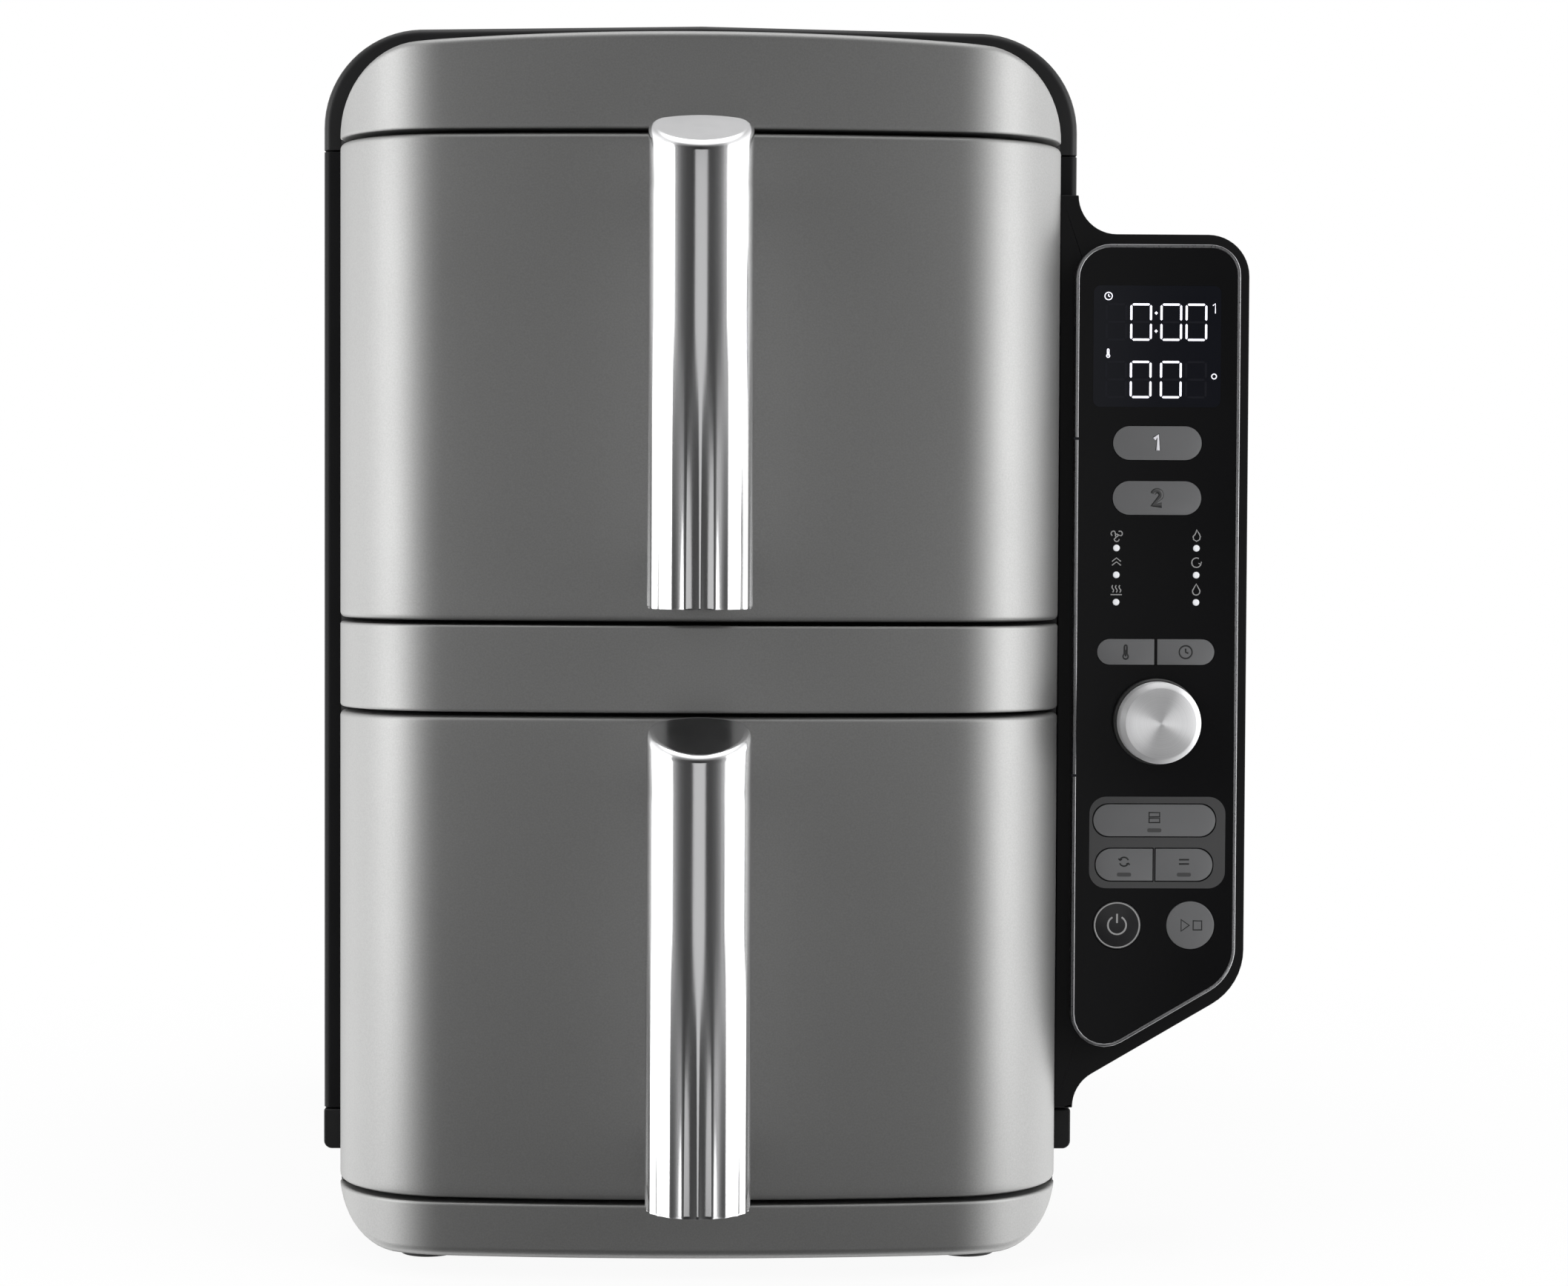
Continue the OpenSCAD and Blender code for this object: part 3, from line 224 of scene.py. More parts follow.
def plan_at(run):
    """Point and outward way on the plan, at a run to the left or right of its middle."""
    side = -1 if run < 0 else 1
    far = abs(run)
    if far <= bow_run:
        lean = far / bow_r
        return (side * bow_r * math.sin(lean), bow_r - bow_r * math.cos(lean),
                side * math.sin(lean), -math.cos(lean))
    if far <= bow_run + corner_run:
        lean = bow_lean + (far - bow_run) / corner_r
        return (side * (corner_x + corner_r * math.sin(lean)), corner_y - corner_r * math.cos(lean),
                side * math.sin(lean), -math.cos(lean))
    return side * front_half, corner_y + far - bow_run - corner_run, side, 0


def runs_to(half_x, reach):
    """Stations along the plan from left to right, close together in the corners."""
    stations = [bow_run * step / 14 for step in range(14)]
    last_lean = math.asin(min(1, (half_x - corner_x) / corner_r))
    corner = corner_r * (last_lean - bow_lean)
    stations += [bow_run + corner * step / 18 for step in range(19)]
    if half_x >= front_half:
        stations.append(bow_run + corner_run + reach - corner_y)
    return [-run for run in reversed(stations[1:])] + stations


def rows_over(low, high, low_r, high_r):
    """Heights up a band, each with how far its round edge lies behind the face."""
    ease = min(1, (high - low) / (low_r + high_r))
    low_r = low_r * ease
    high_r = high_r * ease
    turns = [math.radians(15 * step) for step in range(7)]
    rows = [(low + low_r * (1 - math.cos(turn)), low_r * (1 - math.sin(turn))) for turn in turns]
    start = low + low_r
    rise = high - high_r - start
    rows += [(start + rise * share, 0) for share in (0.015, 0.2, 0.4, 0.6, 0.8, 0.985)]
    rows += [(high - high_r * (1 - math.cos(turn)), high_r * (1 - math.sin(turn)))
             for turn in reversed(turns)]
    return rows


def placed(shape, name, material):
    """Turns a finished shape, in sizes, into an object in the frame."""
    shape.transform(to_frame)
    mesh = bpy.data.meshes.new(name)
    shape.to_mesh(mesh)
    shape.free()
    piece = bpy.data.objects.new(name, mesh)
    bpy.context.scene.collection.objects.link(piece)
    mesh.materials.append(material)
    return piece


def make_piece(shape, name, material, body, sharp=35):
    """Makes a piece of a finished shape, riding on its body."""
    piece = placed(shape, name, material)
    piece.data.shade_smooth()
    if sharp:
        piece.data.set_sharp_from_angle(angle=math.radians(sharp))
    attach(piece, body)
    return piece


def give_wall(piece, wall, even=True):
    """Gives a sheet its wall, inwards, in millimetres."""
    solid = piece.modifiers.new("wall", "SOLIDIFY")
    solid.thickness = wall / 1000
    solid.offset = -1
    solid.use_even_offset = even


def face_out(shape, middle):
    """Turns every face of an open sheet away from a point inside it."""
    bmesh.ops.recalc_face_normals(shape, faces=shape.faces)
    outward = sum((face.calc_center_median() - middle).dot(face.normal) * face.calc_area()
                  for face in shape.faces)
    if outward < 0:
        bmesh.ops.reverse_faces(shape, faces=shape.faces)


def front_skin(name, low_of, high_of, low_r, high_r, half_x, reach, body):
    """One grey moulding: a face on the plan, round edges, and sides that run back."""
    runs = runs_to(half_x, reach)
    count = len(rows_over(0, 100, 1, 1)) + 2
    shape = bmesh.new()
    bmesh.ops.create_grid(shape, x_segments=len(runs) - 1, y_segments=count - 1, size=1)
    for vert in shape.verts:
        column = round((vert.co.x + 1) / 2 * (len(runs) - 1))
        row = round((vert.co.y + 1) / 2 * (count - 1))
        x, y, out_x, out_y = plan_at(runs[column])
        rows = rows_over(low_of(x), high_of(x), low_r, high_r)
        height, set_back = rows[min(max(row - 1, 0), len(rows) - 1)]
        spot = Vector((x - out_x * set_back, y - out_y * set_back, height))
        if row in (0, count - 1):
            spot.y = reach
        vert.co = spot
    bmesh.ops.remove_doubles(shape, verts=shape.verts, dist=0.02)
    face_out(shape, Vector((0, reach * 2, (low_of(0) + high_of(0)) / 2)))
    piece = make_piece(shape, name, front_grey, body, 50)
    give_wall(piece, front_wall, False)
    return piece


# Grey lacquer: a metallic base coat with a very fine mottle under satin clear.
front_grey, tree, shader, place = finish_nodes("front_grey", (0.315, 0.315, 0.313), 0.5, 0.98)
flake = noise(tree, place, 0.5, 2)
cloud = noise(tree, place, 60, 3)
feed(tree, shader, {"Base Color": tint(tree, flake, (0.3, 0.3, 0.297), (0.335, 0.335, 0.332)),
                    "Roughness": between(tree, cloud, 0.49, 0.515)})
relief(tree, shader, flake, 0.006)

# Three bands stand in front of one frame plate: cap above, strip between the drawers,
# sill below. The cap's top follows the arch of the cover, and the sill has round feet.
frame_back = span("top_cover")[0].y
frame_front = frame_back - 4
tiers = ("lower", "upper")
drawer_low = [span(tier + "_drawer_front")[0].z for tier in tiers]
drawer_high = [span(tier + "_drawer_front")[1].z for tier in tiers]
panel_gap = 1.3
arch_r = 1400
arch_corner_r = 27
arch_half = front_half + 0.1
arch_lean = math.asin((arch_half - arch_corner_r) / (arch_r - arch_corner_r))
arch_hub_z = front_high.z - arch_r + (arch_r - arch_corner_r) * math.cos(arch_lean)
sill_corner_r = 19


def arch_at(x):
    """Height of the arched top, with its round corners."""
    far = abs(x)
    if far < arch_r * math.sin(arch_lean):
        return front_high.z - arch_r + math.sqrt(arch_r ** 2 - far ** 2)
    return arch_hub_z + math.sqrt(arch_corner_r ** 2 - (far - arch_half + arch_corner_r) ** 2)


def sill_at(x):
    """Height of the lower edge, with its round corners."""
    beyond = max(0, abs(x) - arch_half + sill_corner_r)
    return front_low.z + sill_corner_r - math.sqrt(sill_corner_r ** 2 - beyond ** 2)


rim_r = 0.9
cap_top_r = 2.2
sill_foot_r = 3
band_half = front_half - 0.15
cap_low = drawer_high[1] + panel_gap
strip_low = drawer_high[0] + panel_gap
strip_high = drawer_low[1] - panel_gap
sill_high = drawer_low[0] - panel_gap
front_cap = front_skin("front_cap", lambda x: cap_low, arch_at, rim_r, cap_top_r, band_half,
                       frame_front, "housing")
front_strip = front_skin("front_strip", lambda x: strip_low, lambda x: strip_high, rim_r, rim_r,
                         front_half, frame_front, "housing")
front_sill = front_skin("front_sill", sill_at, lambda x: sill_high, sill_foot_r, rim_r, band_half,
                        frame_front, "housing")
# The frame plate is near black. This is partly the dark plastic of the frame and partly painted shade
# that keeps the narrow gaps between the grey bands dark.
frame_dark_and_gap_shade = moulded("frame_dark_and_gap_shade", (0.035, 0.035, 0.036), 0.5)
window_half = 102.5
window_h = 131.2
window_rise = 7.5
window_corner_r = 2


def arch_outline(half, low, high, arch_radius, top_r, low_r):
    """Corners of an upright outline whose top is a shallow arch between round corners."""
    lean = math.asin((half - top_r) / (arch_radius - top_r))
    join_x = arch_radius * math.sin(lean)
    join_z = high - arch_radius * (1 - math.cos(lean))
    corner_z = join_z - (half - join_x) * math.tan(lean)
    return [(-half, low, low_r), (half, low, low_r), (half, corner_z, top_r),
            (0, join_z + join_x * math.tan(lean), arch_radius), (-half, corner_z, top_r)]


def upright_at(y):
    """Lays flat points (u, v) in the upright plane at y."""
    return lambda u, v: Vector((u, y, v))


def drawn_on(shape, tip, spot):
    """Extrudes a vertex to a new spot and gives back the moved vertex."""
    tip = bmesh.ops.extrude_vert_indiv(shape, verts=[tip])["verts"][0]
    tip.co = spot
    return tip


def trace(shape, corners, lay, turn_step=7.5):
    """Traces a closed outline of corners (u, v, radius), and gives back its edges."""
    origin = lay(0, 0)
    axis = (lay(1, 0) - origin).cross(lay(0, 1) - origin)
    known = set(shape.edges)
    first = tip = None
    for index, (u, v, radius) in enumerate(corners):
        here = Vector((u, v))
        back = (Vector(corners[index - 1][:2]) - here).normalized()
        ahead = (Vector(corners[(index + 1) % len(corners)][:2]) - here).normalized()
        half = back.angle(ahead) / 2
        spot = lay(*(here + back * radius / math.tan(half)))
        if tip is None:
            tip = first = shape.verts.new(spot)
        elif (tip.co - spot).length > 0.001:
            tip = drawn_on(shape, tip, spot)
        if radius:
            hub = here + (back + ahead).normalized() * radius / math.sin(half)
            turn = math.pi - 2 * half
            way = 1 if ahead.cross(back) > 0 else -1
            steps = max(2, math.ceil(math.degrees(turn) / turn_step))
            arc = bmesh.ops.spin(shape, geom=[tip], cent=lay(*hub), axis=axis,
                                 angle=way * turn, steps=steps)
            tip = arc["geom_last"][0]
    if (tip.co - first.co).length > 0.001:
        shape.edges.new((tip, first))
    else:
        bmesh.ops.pointmerge(shape, verts=[tip, first], merge_co=first.co)
    return [edge for edge in shape.edges if edge not in known]


def square(low_x, low_z, high_x, high_z, radius=0):
    """Corners of an upright rectangle, all with one radius."""
    return [(low_x, low_z, radius), (high_x, low_z, radius),
            (high_x, high_z, radius), (low_x, high_z, radius)]


def only(kind, parts):
    """The parts of one kind among those that an operator gives back."""
    return [part for part in parts if isinstance(part, kind)]


def filled(shape, *loops):
    """Fills an outline, less the outlines of its holes."""
    edges = [edge for loop in loops for edge in loop]
    if len(loops) == 1:
        return bmesh.ops.contextual_create(shape, geom=edges)["faces"]
    return only(BMFace, bmesh.ops.triangle_fill(shape, edges=edges, use_beauty=True)["geom"])


def drawn_out(shape, faces, shift):
    """Extrudes faces into a solid and gives back the moved faces."""
    moved = bmesh.ops.extrude_face_region(shape, geom=faces)["geom"]
    bmesh.ops.translate(shape, verts=only(BMVert, moved), vec=shift)
    return only(BMFace, moved)


def slab(shape, y, thick, *outlines):
    """Adds a flat upright piece: one outline, less the others, from y backwards."""
    loops = [trace(shape, corners, upright_at(y)) for corners in outlines]
    drawn_out(shape, filled(shape, *loops), (0, thick, 0))
    bmesh.ops.recalc_face_normals(shape, faces=shape.faces)


windows = [square(-window_half, low + window_rise, window_half, low + window_rise + window_h,
                  window_corner_r) for low in drawer_low]
shape = bmesh.new()
slab(shape, frame_front, frame_back - frame_front,
     arch_outline(front_half, front_low.z, front_high.z, arch_r, arch_corner_r, sill_corner_r),
     *windows)
front_frame = make_piece(shape, "front_frame", frame_dark_and_gap_shade, "housing")
for piece in (front_cap, front_strip, front_sill, front_frame):
    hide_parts("front_bezel")

# Dark shells close the body behind the front: a cover over the top, a panel down each
# side and a skirt under it. Each is a thin moulding with a lip turned in at its front.
cover_black = moulded("cover_black", (0.0095, 0.0095, 0.01), 0.42, 0.4, 0.02, 1.2, 0.3)
shell_black = moulded("shell_black", (0.0055, 0.0055, 0.006), 0.42, 0.4, 0.025, 1.2, 0.13)
shell_half, shell_back, shell_top = span("top_cover")[1]
cover_low = span("top_cover")[0].z
skirt_low, skirt_high = span("left_skirt")
shell_wall = 2.5
shell_lip = 9
shell_edge_r = 2.2
skirt_foot_r = 2.5
seam = 0.25
cover_arch_r = 2400
cover_corner_r = 31


def drawn_edges(shape, edges, shift):
    """Extrudes edges into a sheet and gives back the moved edges."""
    moved = bmesh.ops.extrude_edge_only(shape, edges=edges)["geom"]
    bmesh.ops.translate(shape, verts=only(BMVert, moved), vec=shift)
    return only(BMEdge, moved)


def within(parts, test):
    """The edges or faces whose every corner passes a test."""
    return [part for part in parts if all(test(vert.co) for vert in part.verts)]


def round_off(shape, edges, radius, segments, clamp=True):
    """Rounds these edges in the shape itself."""
    bmesh.ops.bevel(shape, geom=edges, offset=radius, affect="EDGES", segments=segments,
                    profile=0.5, material=-1, clamp_overlap=clamp)


shape = bmesh.new()
edges = []
for inset in (0, shell_lip):
    loop = trace(shape, arch_outline(shell_half - inset, cover_low + seam, shell_top - inset,
                                     cover_arch_r - inset, cover_corner_r - inset, 0),
                  upright_at(frame_back), 5)
    foot = within(loop, lambda spot: spot.z < cover_low + 1)
    edges.append([edge for edge in loop if edge not in foot])
    bmesh.ops.delete(shape, geom=foot, context="EDGES")
bmesh.ops.bridge_loops(shape, edges=edges[0] + edges[1])
drawn_edges(shape, edges[0], (0, shell_back - frame_back, 0))
round_off(shape, edges[0], shell_edge_r, 4)
face_out(shape, Vector((0, 200, 250)))
top_cover = make_piece(shape, "top_cover_shell", cover_black, "housing", 0)
give_wall(top_cover, shell_wall)
soften(top_cover, 0.35, 2)
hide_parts("top_cover")

for side, name in ((-1, "left_side_panel"), (1, "right_side_panel")):
    shape = bmesh.new()
    tip = shape.verts.new((side * (shell_half - shell_lip), frame_back, skirt_high.z + seam))
    for y in (frame_back, shell_back):
        tip = drawn_on(shape, tip, (side * shell_half, y, skirt_high.z + seam))
    drawn_edges(shape, shape.edges, (0, 0, cover_low - skirt_high.z - 2 * seam))
    corner = within(shape.edges, lambda spot: abs(spot.x) > shell_half - 0.01
                    and spot.y < frame_back + 0.01)
    round_off(shape, corner, shell_edge_r, 4)
    face_out(shape, Vector((0, 200, 200)))
    panel = make_piece(shape, name.replace("_panel", "_shell"), shell_black, "housing",
                       0)
    give_wall(panel, shell_wall)
    soften(panel, 0.35, 2)
    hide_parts(name)

for side, name in ((-1, "left_skirt"), (1, "right_skirt")):
    shape = bmesh.new()
    near = side * (shell_half - (skirt_high.x - skirt_low.x))
    slab(shape, frame_back, shell_back - frame_back,
         [(near, skirt_low.z, 0), (side * shell_half, skirt_low.z, skirt_foot_r),
          (side * shell_half, skirt_high.z - seam, 0), (near, skirt_high.z - seam, 0)])
    skirt = make_piece(shape, name + "_moulding", cover_black, "housing", 0)
    soften(skirt, 0.6, 3, 30)
    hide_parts(name)

# The rear cover is one moulding with two fields of slots, one behind each fan. Four
# screws hold it to the side panels, and the mains cord comes in through a rubber gland.
screw_steel = sheet_metal("screw_steel", (0.32, 0.32, 0.33), 0.35, (1, 1, 1), 0.8, 0.01)
dress(shell_black, 0, "rear_cover")
dress(foot_rubber, 0.4, "inlet_gland")
dress(screw_steel, 0.2, "housing_screws")

# The control pod is a hollow moulding on the right side. Its front plate flares into the
# side wall and reaches behind the grey front, and has an opening under the fascia.
pod_black = moulded("pod_black", (0.0072, 0.0072, 0.0076), 0.38, 0.4, 0.012, 1.2, 0.14)
pod_low, pod_high = span("pod_housing")
fascia_low, fascia_high = span("fascia_trim")
pod_slope = math.radians(30.3)
pod_blend = 12
pod_right_low = 84.7
pod_right_r = 20
pod_top_r = 13
pod_back_r = 4
pod_top = pod_high.z - pod_blend
pod_foot = pod_right_low - (pod_high.x - shell_half) * math.tan(pod_slope)
plate_outline = [(pod_low.x, pod_low.z, 0), (shell_half, pod_low.z, 0),
                 (shell_half, pod_foot, pod_blend), (pod_high.x, pod_right_low, pod_right_r),
                 (pod_high.x, pod_top, pod_top_r), (shell_half, pod_top, pod_blend),
                 (shell_half, pod_high.z, 0), (pod_low.x, pod_high.z, 0)]
fascia_right_low = 88.48
fascia_radii = (10.4, 16, 9.3, 10.8)
fascia_rest = 4


def fascia_corners(inset):
    """Corners of the fascia's outline, which follows the pod's, from its low left corner."""
    left = fascia_low.x + inset
    right = fascia_high.x - inset
    low = fascia_right_low + inset / math.cos(pod_slope) - inset * math.tan(pod_slope)
    spots = [(left, low - (right - left) * math.tan(pod_slope)), (right, low),
             (right, fascia_high.z - inset), (left, fascia_high.z - inset)]
    return [(*spot, radius - inset) for spot, radius in zip(spots, fascia_radii)]


def even_light(piece):
    """Keeps a broad face flat in the light beside its round edges."""
    weigh = piece.modifiers.new("light", "WEIGHTED_NORMAL")
    weigh.keep_sharp = True


shape = bmesh.new()
slab(shape, pod_low.y, frame_back - pod_low.y, plate_outline, fascia_corners(fascia_rest))
pod_plate = make_piece(shape, "pod_plate", pod_black, "housing", 0)
soften(pod_plate, 0.9, 3)
shape = bmesh.new()
outline = trace(shape, [(shell_half, pod_foot, 0), (pod_high.x, pod_right_low, pod_right_r),
                        (pod_high.x, pod_top, pod_top_r), (shell_half, pod_top, 0)],
                upright_at(frame_back + 0.1))
drawn_out(shape, filled(shape, outline), (0, pod_high.y - frame_back - 0.1, 0))
front = within(shape.faces, lambda spot: spot.y < frame_back + 1)
bmesh.ops.delete(shape, geom=front, context="FACES_ONLY")
rim = within(shape.edges, lambda spot: spot.y > pod_high.y - 0.01)
inner = within(rim, lambda spot: spot.x < shell_half + 0.01)
round_off(shape, [edge for edge in rim if edge not in inner], pod_back_r, 5)
face_out(shape, Vector((145, 70, 200)))
pod_shell = make_piece(shape, "pod_shell", pod_black, "housing", 40)
give_wall(pod_shell, shell_wall)
even_light(pod_shell)
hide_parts("pod_housing")
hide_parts("pod_housing")

# The fascia is a glossy black panel in a thin metal-coloured rim. A dark window in it
# covers the display, six small lights shine through, and every key has its own opening.
fascia_black = moulded("fascia_black", (0.0034, 0.0034, 0.0038), 0.2, 2.0, 0.004, 1.1, 0.2)
trim_silver = sheet_metal("trim_silver", (0.4, 0.4, 0.41), 0.3, (1, 1, 1), 0.6, 0.004)
display_glass = moulded("display_glass", (0.0055, 0.006, 0.0085), 0.12, 2.0, 0.002, 1.15, 0.2)
light_clear, tree, shader, place = finish_nodes("light_clear", (0.75, 0.76, 0.78), 0.3)
feed(tree, shader, {"Emission Color": (0.9, 0.92, 1, 1), "Emission Strength": 0.1})
relief(tree, shader, noise(tree, place, 0.6), 0.01)
dress(fascia_black, 0, "pod_fascia")
dress(trim_silver, 0.2, "fascia_trim")
dress(switch_black, 0.3, "display_module", "encoder")
dress(light_clear, 0.3, "light_pipes")
panel_face = span("pod_fascia")[0].y
panel_top = fascia_high.z
panel_mid = (fascia_low.x + fascia_high.x) / 2
display_low, display_high = panel_top - 50.5, panel_top - 12.8
display_left, display_right = panel_mid - 20.2, panel_mid + 19.6
display_corner_r = 2.2
film = 0.1
shape = bmesh.new()
slab(shape, panel_face - film, film,
     square(display_left, display_low, display_right, display_high, display_corner_r))
make_piece(shape, "display_window", display_glass, "housing", 30)
clip_half = 0.4
clip_left, clip_right = fascia_low.x - 0.5, fascia_low.x + 1.3
shape = bmesh.new()
for z in (panel_top - 60.4, panel_top - 165.5):
    slab(shape, fascia_low.y - film / 2, film,
         square(clip_left, z - clip_half, clip_right, z + clip_half))
make_piece(shape, "trim_clips", display_glass, "housing", 30)


digit_w, digit_h = 6.8, 11.6
bar_w = 0.68
bar_air = 0.62


def bar(shape, x, z, length, wide, upright, y):
    """One mitred bar of a digit, flat on the window."""
    reach, half = length / 2, wide / 2
    corners = [(-reach, 0), (half - reach, -half), (reach - half, -half),
               (reach, 0), (reach - half, half), (half - reach, half)]
    if upright:
        corners = [(-v, u) for u, v in corners]
    slab(shape, y, film / 2, [(x + u, z + v, 0) for u, v in corners])


def digit(shape, x, z, lit, y):
    """A digit of seven bars; only the named ones are drawn."""
    side, rise = (digit_w - bar_w) / 2, (digit_h - bar_w) / 2
    spots = {"top": (0, rise), "mid": (0, 0), "low": (0, -rise),
             "top_left": (-side, digit_h / 4), "top_right": (side, digit_h / 4),
             "low_left": (-side, -digit_h / 4), "low_right": (side, -digit_h / 4)}
    for name in lit:
        u, v = spots[name]
        upright = u != 0
        length = rise if upright else digit_w - bar_w
        bar(shape, x + u, z + v, length - bar_air, bar_w, upright, y)


digit_lit, tree, shader, place = finish_nodes("digit_lit", (0.8, 0.8, 0.85), 0.4)
feed(tree, shader, {"Emission Color": (0.86, 0.85, 1, 1), "Emission Strength": 0.66})
relief(tree, shader, noise(tree, place, 0.8), 0.004)
digit_unlit = moulded("digit_unlit", (0.0085, 0.009, 0.0125), 0.2, 2.0, 0.002, 1.1, 0.2)
zero = ("top", "low", "top_left", "top_right", "low_left", "low_right")
every = zero + ("mid",)
upper_row, lower_row = panel_top - 24.1, panel_top - 41.95
digit_xs = [panel_mid - 13.1, panel_mid - 5.4, panel_mid + 4.0, panel_mid + 11.85]
lit_at = [(x, upper_row) for x in digit_xs[1:]] + [(x, lower_row) for x in digit_xs[1:3]]
unlit_at = [(digit_xs[0], upper_row), (digit_xs[0], lower_row), (digit_xs[3], lower_row)]
lit_y, unlit_y = panel_face - 0.16, panel_face - 0.14
colon_x, colon_rise = panel_mid - 0.7, 2.8
dot_h, dot_w = 1.1, 1.05
shape = bmesh.new()
for x, z in lit_at:
    digit(shape, x, z, zero, lit_y)
for rise in (-colon_rise, colon_rise):
    bar(shape, colon_x, upper_row + rise, dot_h, dot_w, True, lit_y)
make_piece(shape, "display_digits", digit_lit, "housing", 30)
shape = bmesh.new()
for x, z in unlit_at:
    digit(shape, x, z, every, unlit_y)
for x, z in lit_at:
    digit(shape, x, z, ("mid",), unlit_y)
make_piece(shape, "display_unlit", digit_unlit, "housing", 30)

# Marks are printed on the fascia and the keys: thin strokes of grey or dark ink that
# stand for time, heat, air and the like. Each is a set of fine lines in one plane.
label_grey = moulded("label_grey", (0.26, 0.26, 0.26), 0.5, 1.0, 0.002, 1.05)
label_white = moulded("label_white", (0.62, 0.62, 0.66), 0.5, 1.0, 0.002, 1.05)
label_dark = moulded("label_dark", (0.008, 0.0085, 0.009), 0.5, 1.0, 0.002, 1.05)


def ring(x, z, radius, start=0, end=360, step=15):
    """Points round part of a circle."""
    count = max(2, round(abs(end - start) / step))
    turns = [math.radians(start + (end - start) * part / count) for part in range(count + 1)]
    return [(x + radius * math.cos(turn), z + radius * math.sin(turn)) for turn in turns]


def moved(lines, x, z, grow=1.0):
    return [[(x + u * grow, z + v * grow) for u, v in line] for line in lines]


def print_marks(name, lines, wide, y, ink, body, ink_height=0.05):
    """Prints strokes of one width, flat on a face that looks forward."""
    pen = bpy.data.curves.new(name, "CURVE")
    pen.dimensions = "3D"
    pen.bevel_depth = wide / 2
    pen.bevel_resolution = 1
    pen.use_fill_caps = True
    for line in lines:
        closed = math.dist(line[0], line[-1]) < 0.001
        points = line[:-1] if closed else line
        stroke = pen.splines.new("POLY")
        stroke.points.add(len(points) - 1)
        for spot, (u, v) in zip(stroke.points, points):
            spot.co = (u, 0, v, 1)
        stroke.use_cyclic_u = closed
    holder = bpy.data.objects.new(name + "_lines", pen)
    shape = bmesh.new()
    mesh = bpy.data.meshes.new_from_object(holder)
    shape.from_mesh(mesh)
    bpy.data.objects.remove(holder)
    bpy.data.meshes.remove(mesh)
    bpy.data.curves.remove(pen)
    bmesh.ops.scale(shape, verts=shape.verts, vec=(1, ink_height / (wide / 2), 1))
    bmesh.ops.translate(shape, verts=shape.verts, vec=(0, y, 0))
    return make_piece(shape, name, ink, body, 0)


clock = [ring(0, 0, 1), [(0, 0.55), (0, 0), (0.4, -0.2)]]
thermometer = [ring(0, -0.75, 0.42, 60, -240), [(0.21, -0.39), (0.21, 0.9)],
               ring(0, 0.9, 0.21, 0, 180, 30), [(-0.21, 0.9), (-0.21, -0.39)],
               [(0, -0.75), (0, 0.35)]]
fan_mark = [ring(0, 0, 0.22)] + [
    [(0.22 * math.cos(a), 0.22 * math.sin(a))] + ring(0.62 * math.cos(a), 0.62 * math.sin(a), 0.42,
                                                     math.degrees(a) - 90, math.degrees(a) + 90, 30)
    for a in (math.radians(30), math.radians(150), math.radians(270))]
chevrons = [[(-0.75, -0.5), (0, 0.1), (0.75, -0.5)], [(-0.75, 0.15), (0, 0.75), (0.75, 0.15)]]
waves = [[(-0.95, -0.85), (0.95, -0.85)]] + [
    [(x + 0.16 * math.sin(step * math.pi / 3), -0.45 + step * 0.2) for step in range(7)]
    for x in (-0.6, 0, 0.6)]
flame = [[(0, 1), (0.42, 0.35), (0.62, -0.15), (0.5, -0.65), (0, -0.95), (-0.5, -0.65),
          (-0.62, -0.15), (-0.3, 0.2), (-0.12, 0.55), (0, 1)]]
again = [ring(0, 0, 0.8, 60, 340), [(0.85, 0.15), (0.75, -0.28), (0.36, -0.08)]]
drop = [[(0, 1), (0.45, 0.2)] + ring(0, -0.25, 0.62, 30, -210) + [(-0.45, 0.2), (0, 1)]]
light_x = 12.5
light_zs = [panel_top - 90.5, panel_top - 98.9, panel_top - 107.4]
light_mark = 1.85
marks = []
for (left, right), z in zip(((fan_mark, flame), (chevrons, again), (waves, drop)), light_zs):
    marks += moved(left, panel_mid - light_x, z, light_mark)
    marks += moved(right, panel_mid + light_x, z, light_mark)
print_marks("light_marks", marks, 0.4, panel_face, label_grey, "housing")
marks = moved(clock, panel_mid - 15.6, panel_top - 16.1, 1.15)
marks += moved(thermometer, panel_mid - 15.6, panel_top - 33.8, 1.15)
marks += [ring(panel_mid + 17.5, panel_top - 40.9, 0.75),
          [(panel_mid + 16.95, panel_top - 18.9), (panel_mid + 17.75, panel_top - 18.3),
           (panel_mid + 17.75, panel_top - 21.3)]]
print_marks("display_marks", marks, 0.35, panel_face - 0.12, digit_lit, "housing")

# The keys are satin grey caps that stand a little above the fascia, each pressed straight
# in. Two are numbered, four sit on a raised plate, and the round ones start and switch off.
key_grey = moulded("key_grey", (0.108, 0.109, 0.112), 0.42, 0.5, 0.006, 1.08)
power_black = moulded("power_black", (0.012, 0.012, 0.013), 0.3, 0.5, 0.006, 1.08)
plate_grey = moulded("plate_grey", (0.046, 0.046, 0.047), 0.4, 0.5, 0.006, 1.06)
keys = ("key_one", "key_two", "key_temp", "key_time", "key_wide", "key_sync", "key_match",
        "key_start")
dress(key_grey, 0.25, *keys)
dress(power_black, 0.25, "key_power")
key_face = span("key_one")[0].y


def key_middle(name):
    low, high = span(name)
    return (low.x + high.x) / 2, (low.z + high.z) / 2


key_h = 10
end_r = key_h / 2
meeting_r = 0.3
hole_gap = 0.35


def key_hole(name, wide, left_r, right_r):
    """Outline of a key's own opening; an end that meets another key is square."""
    x, z = key_middle(name)
    half, tall = wide / 2 + hole_gap, key_h / 2 + hole_gap
    return [(x - half, z - tall, left_r), (x + half, z - tall, right_r),
            (x + half, z + tall, right_r), (x - half, z + tall, left_r)]


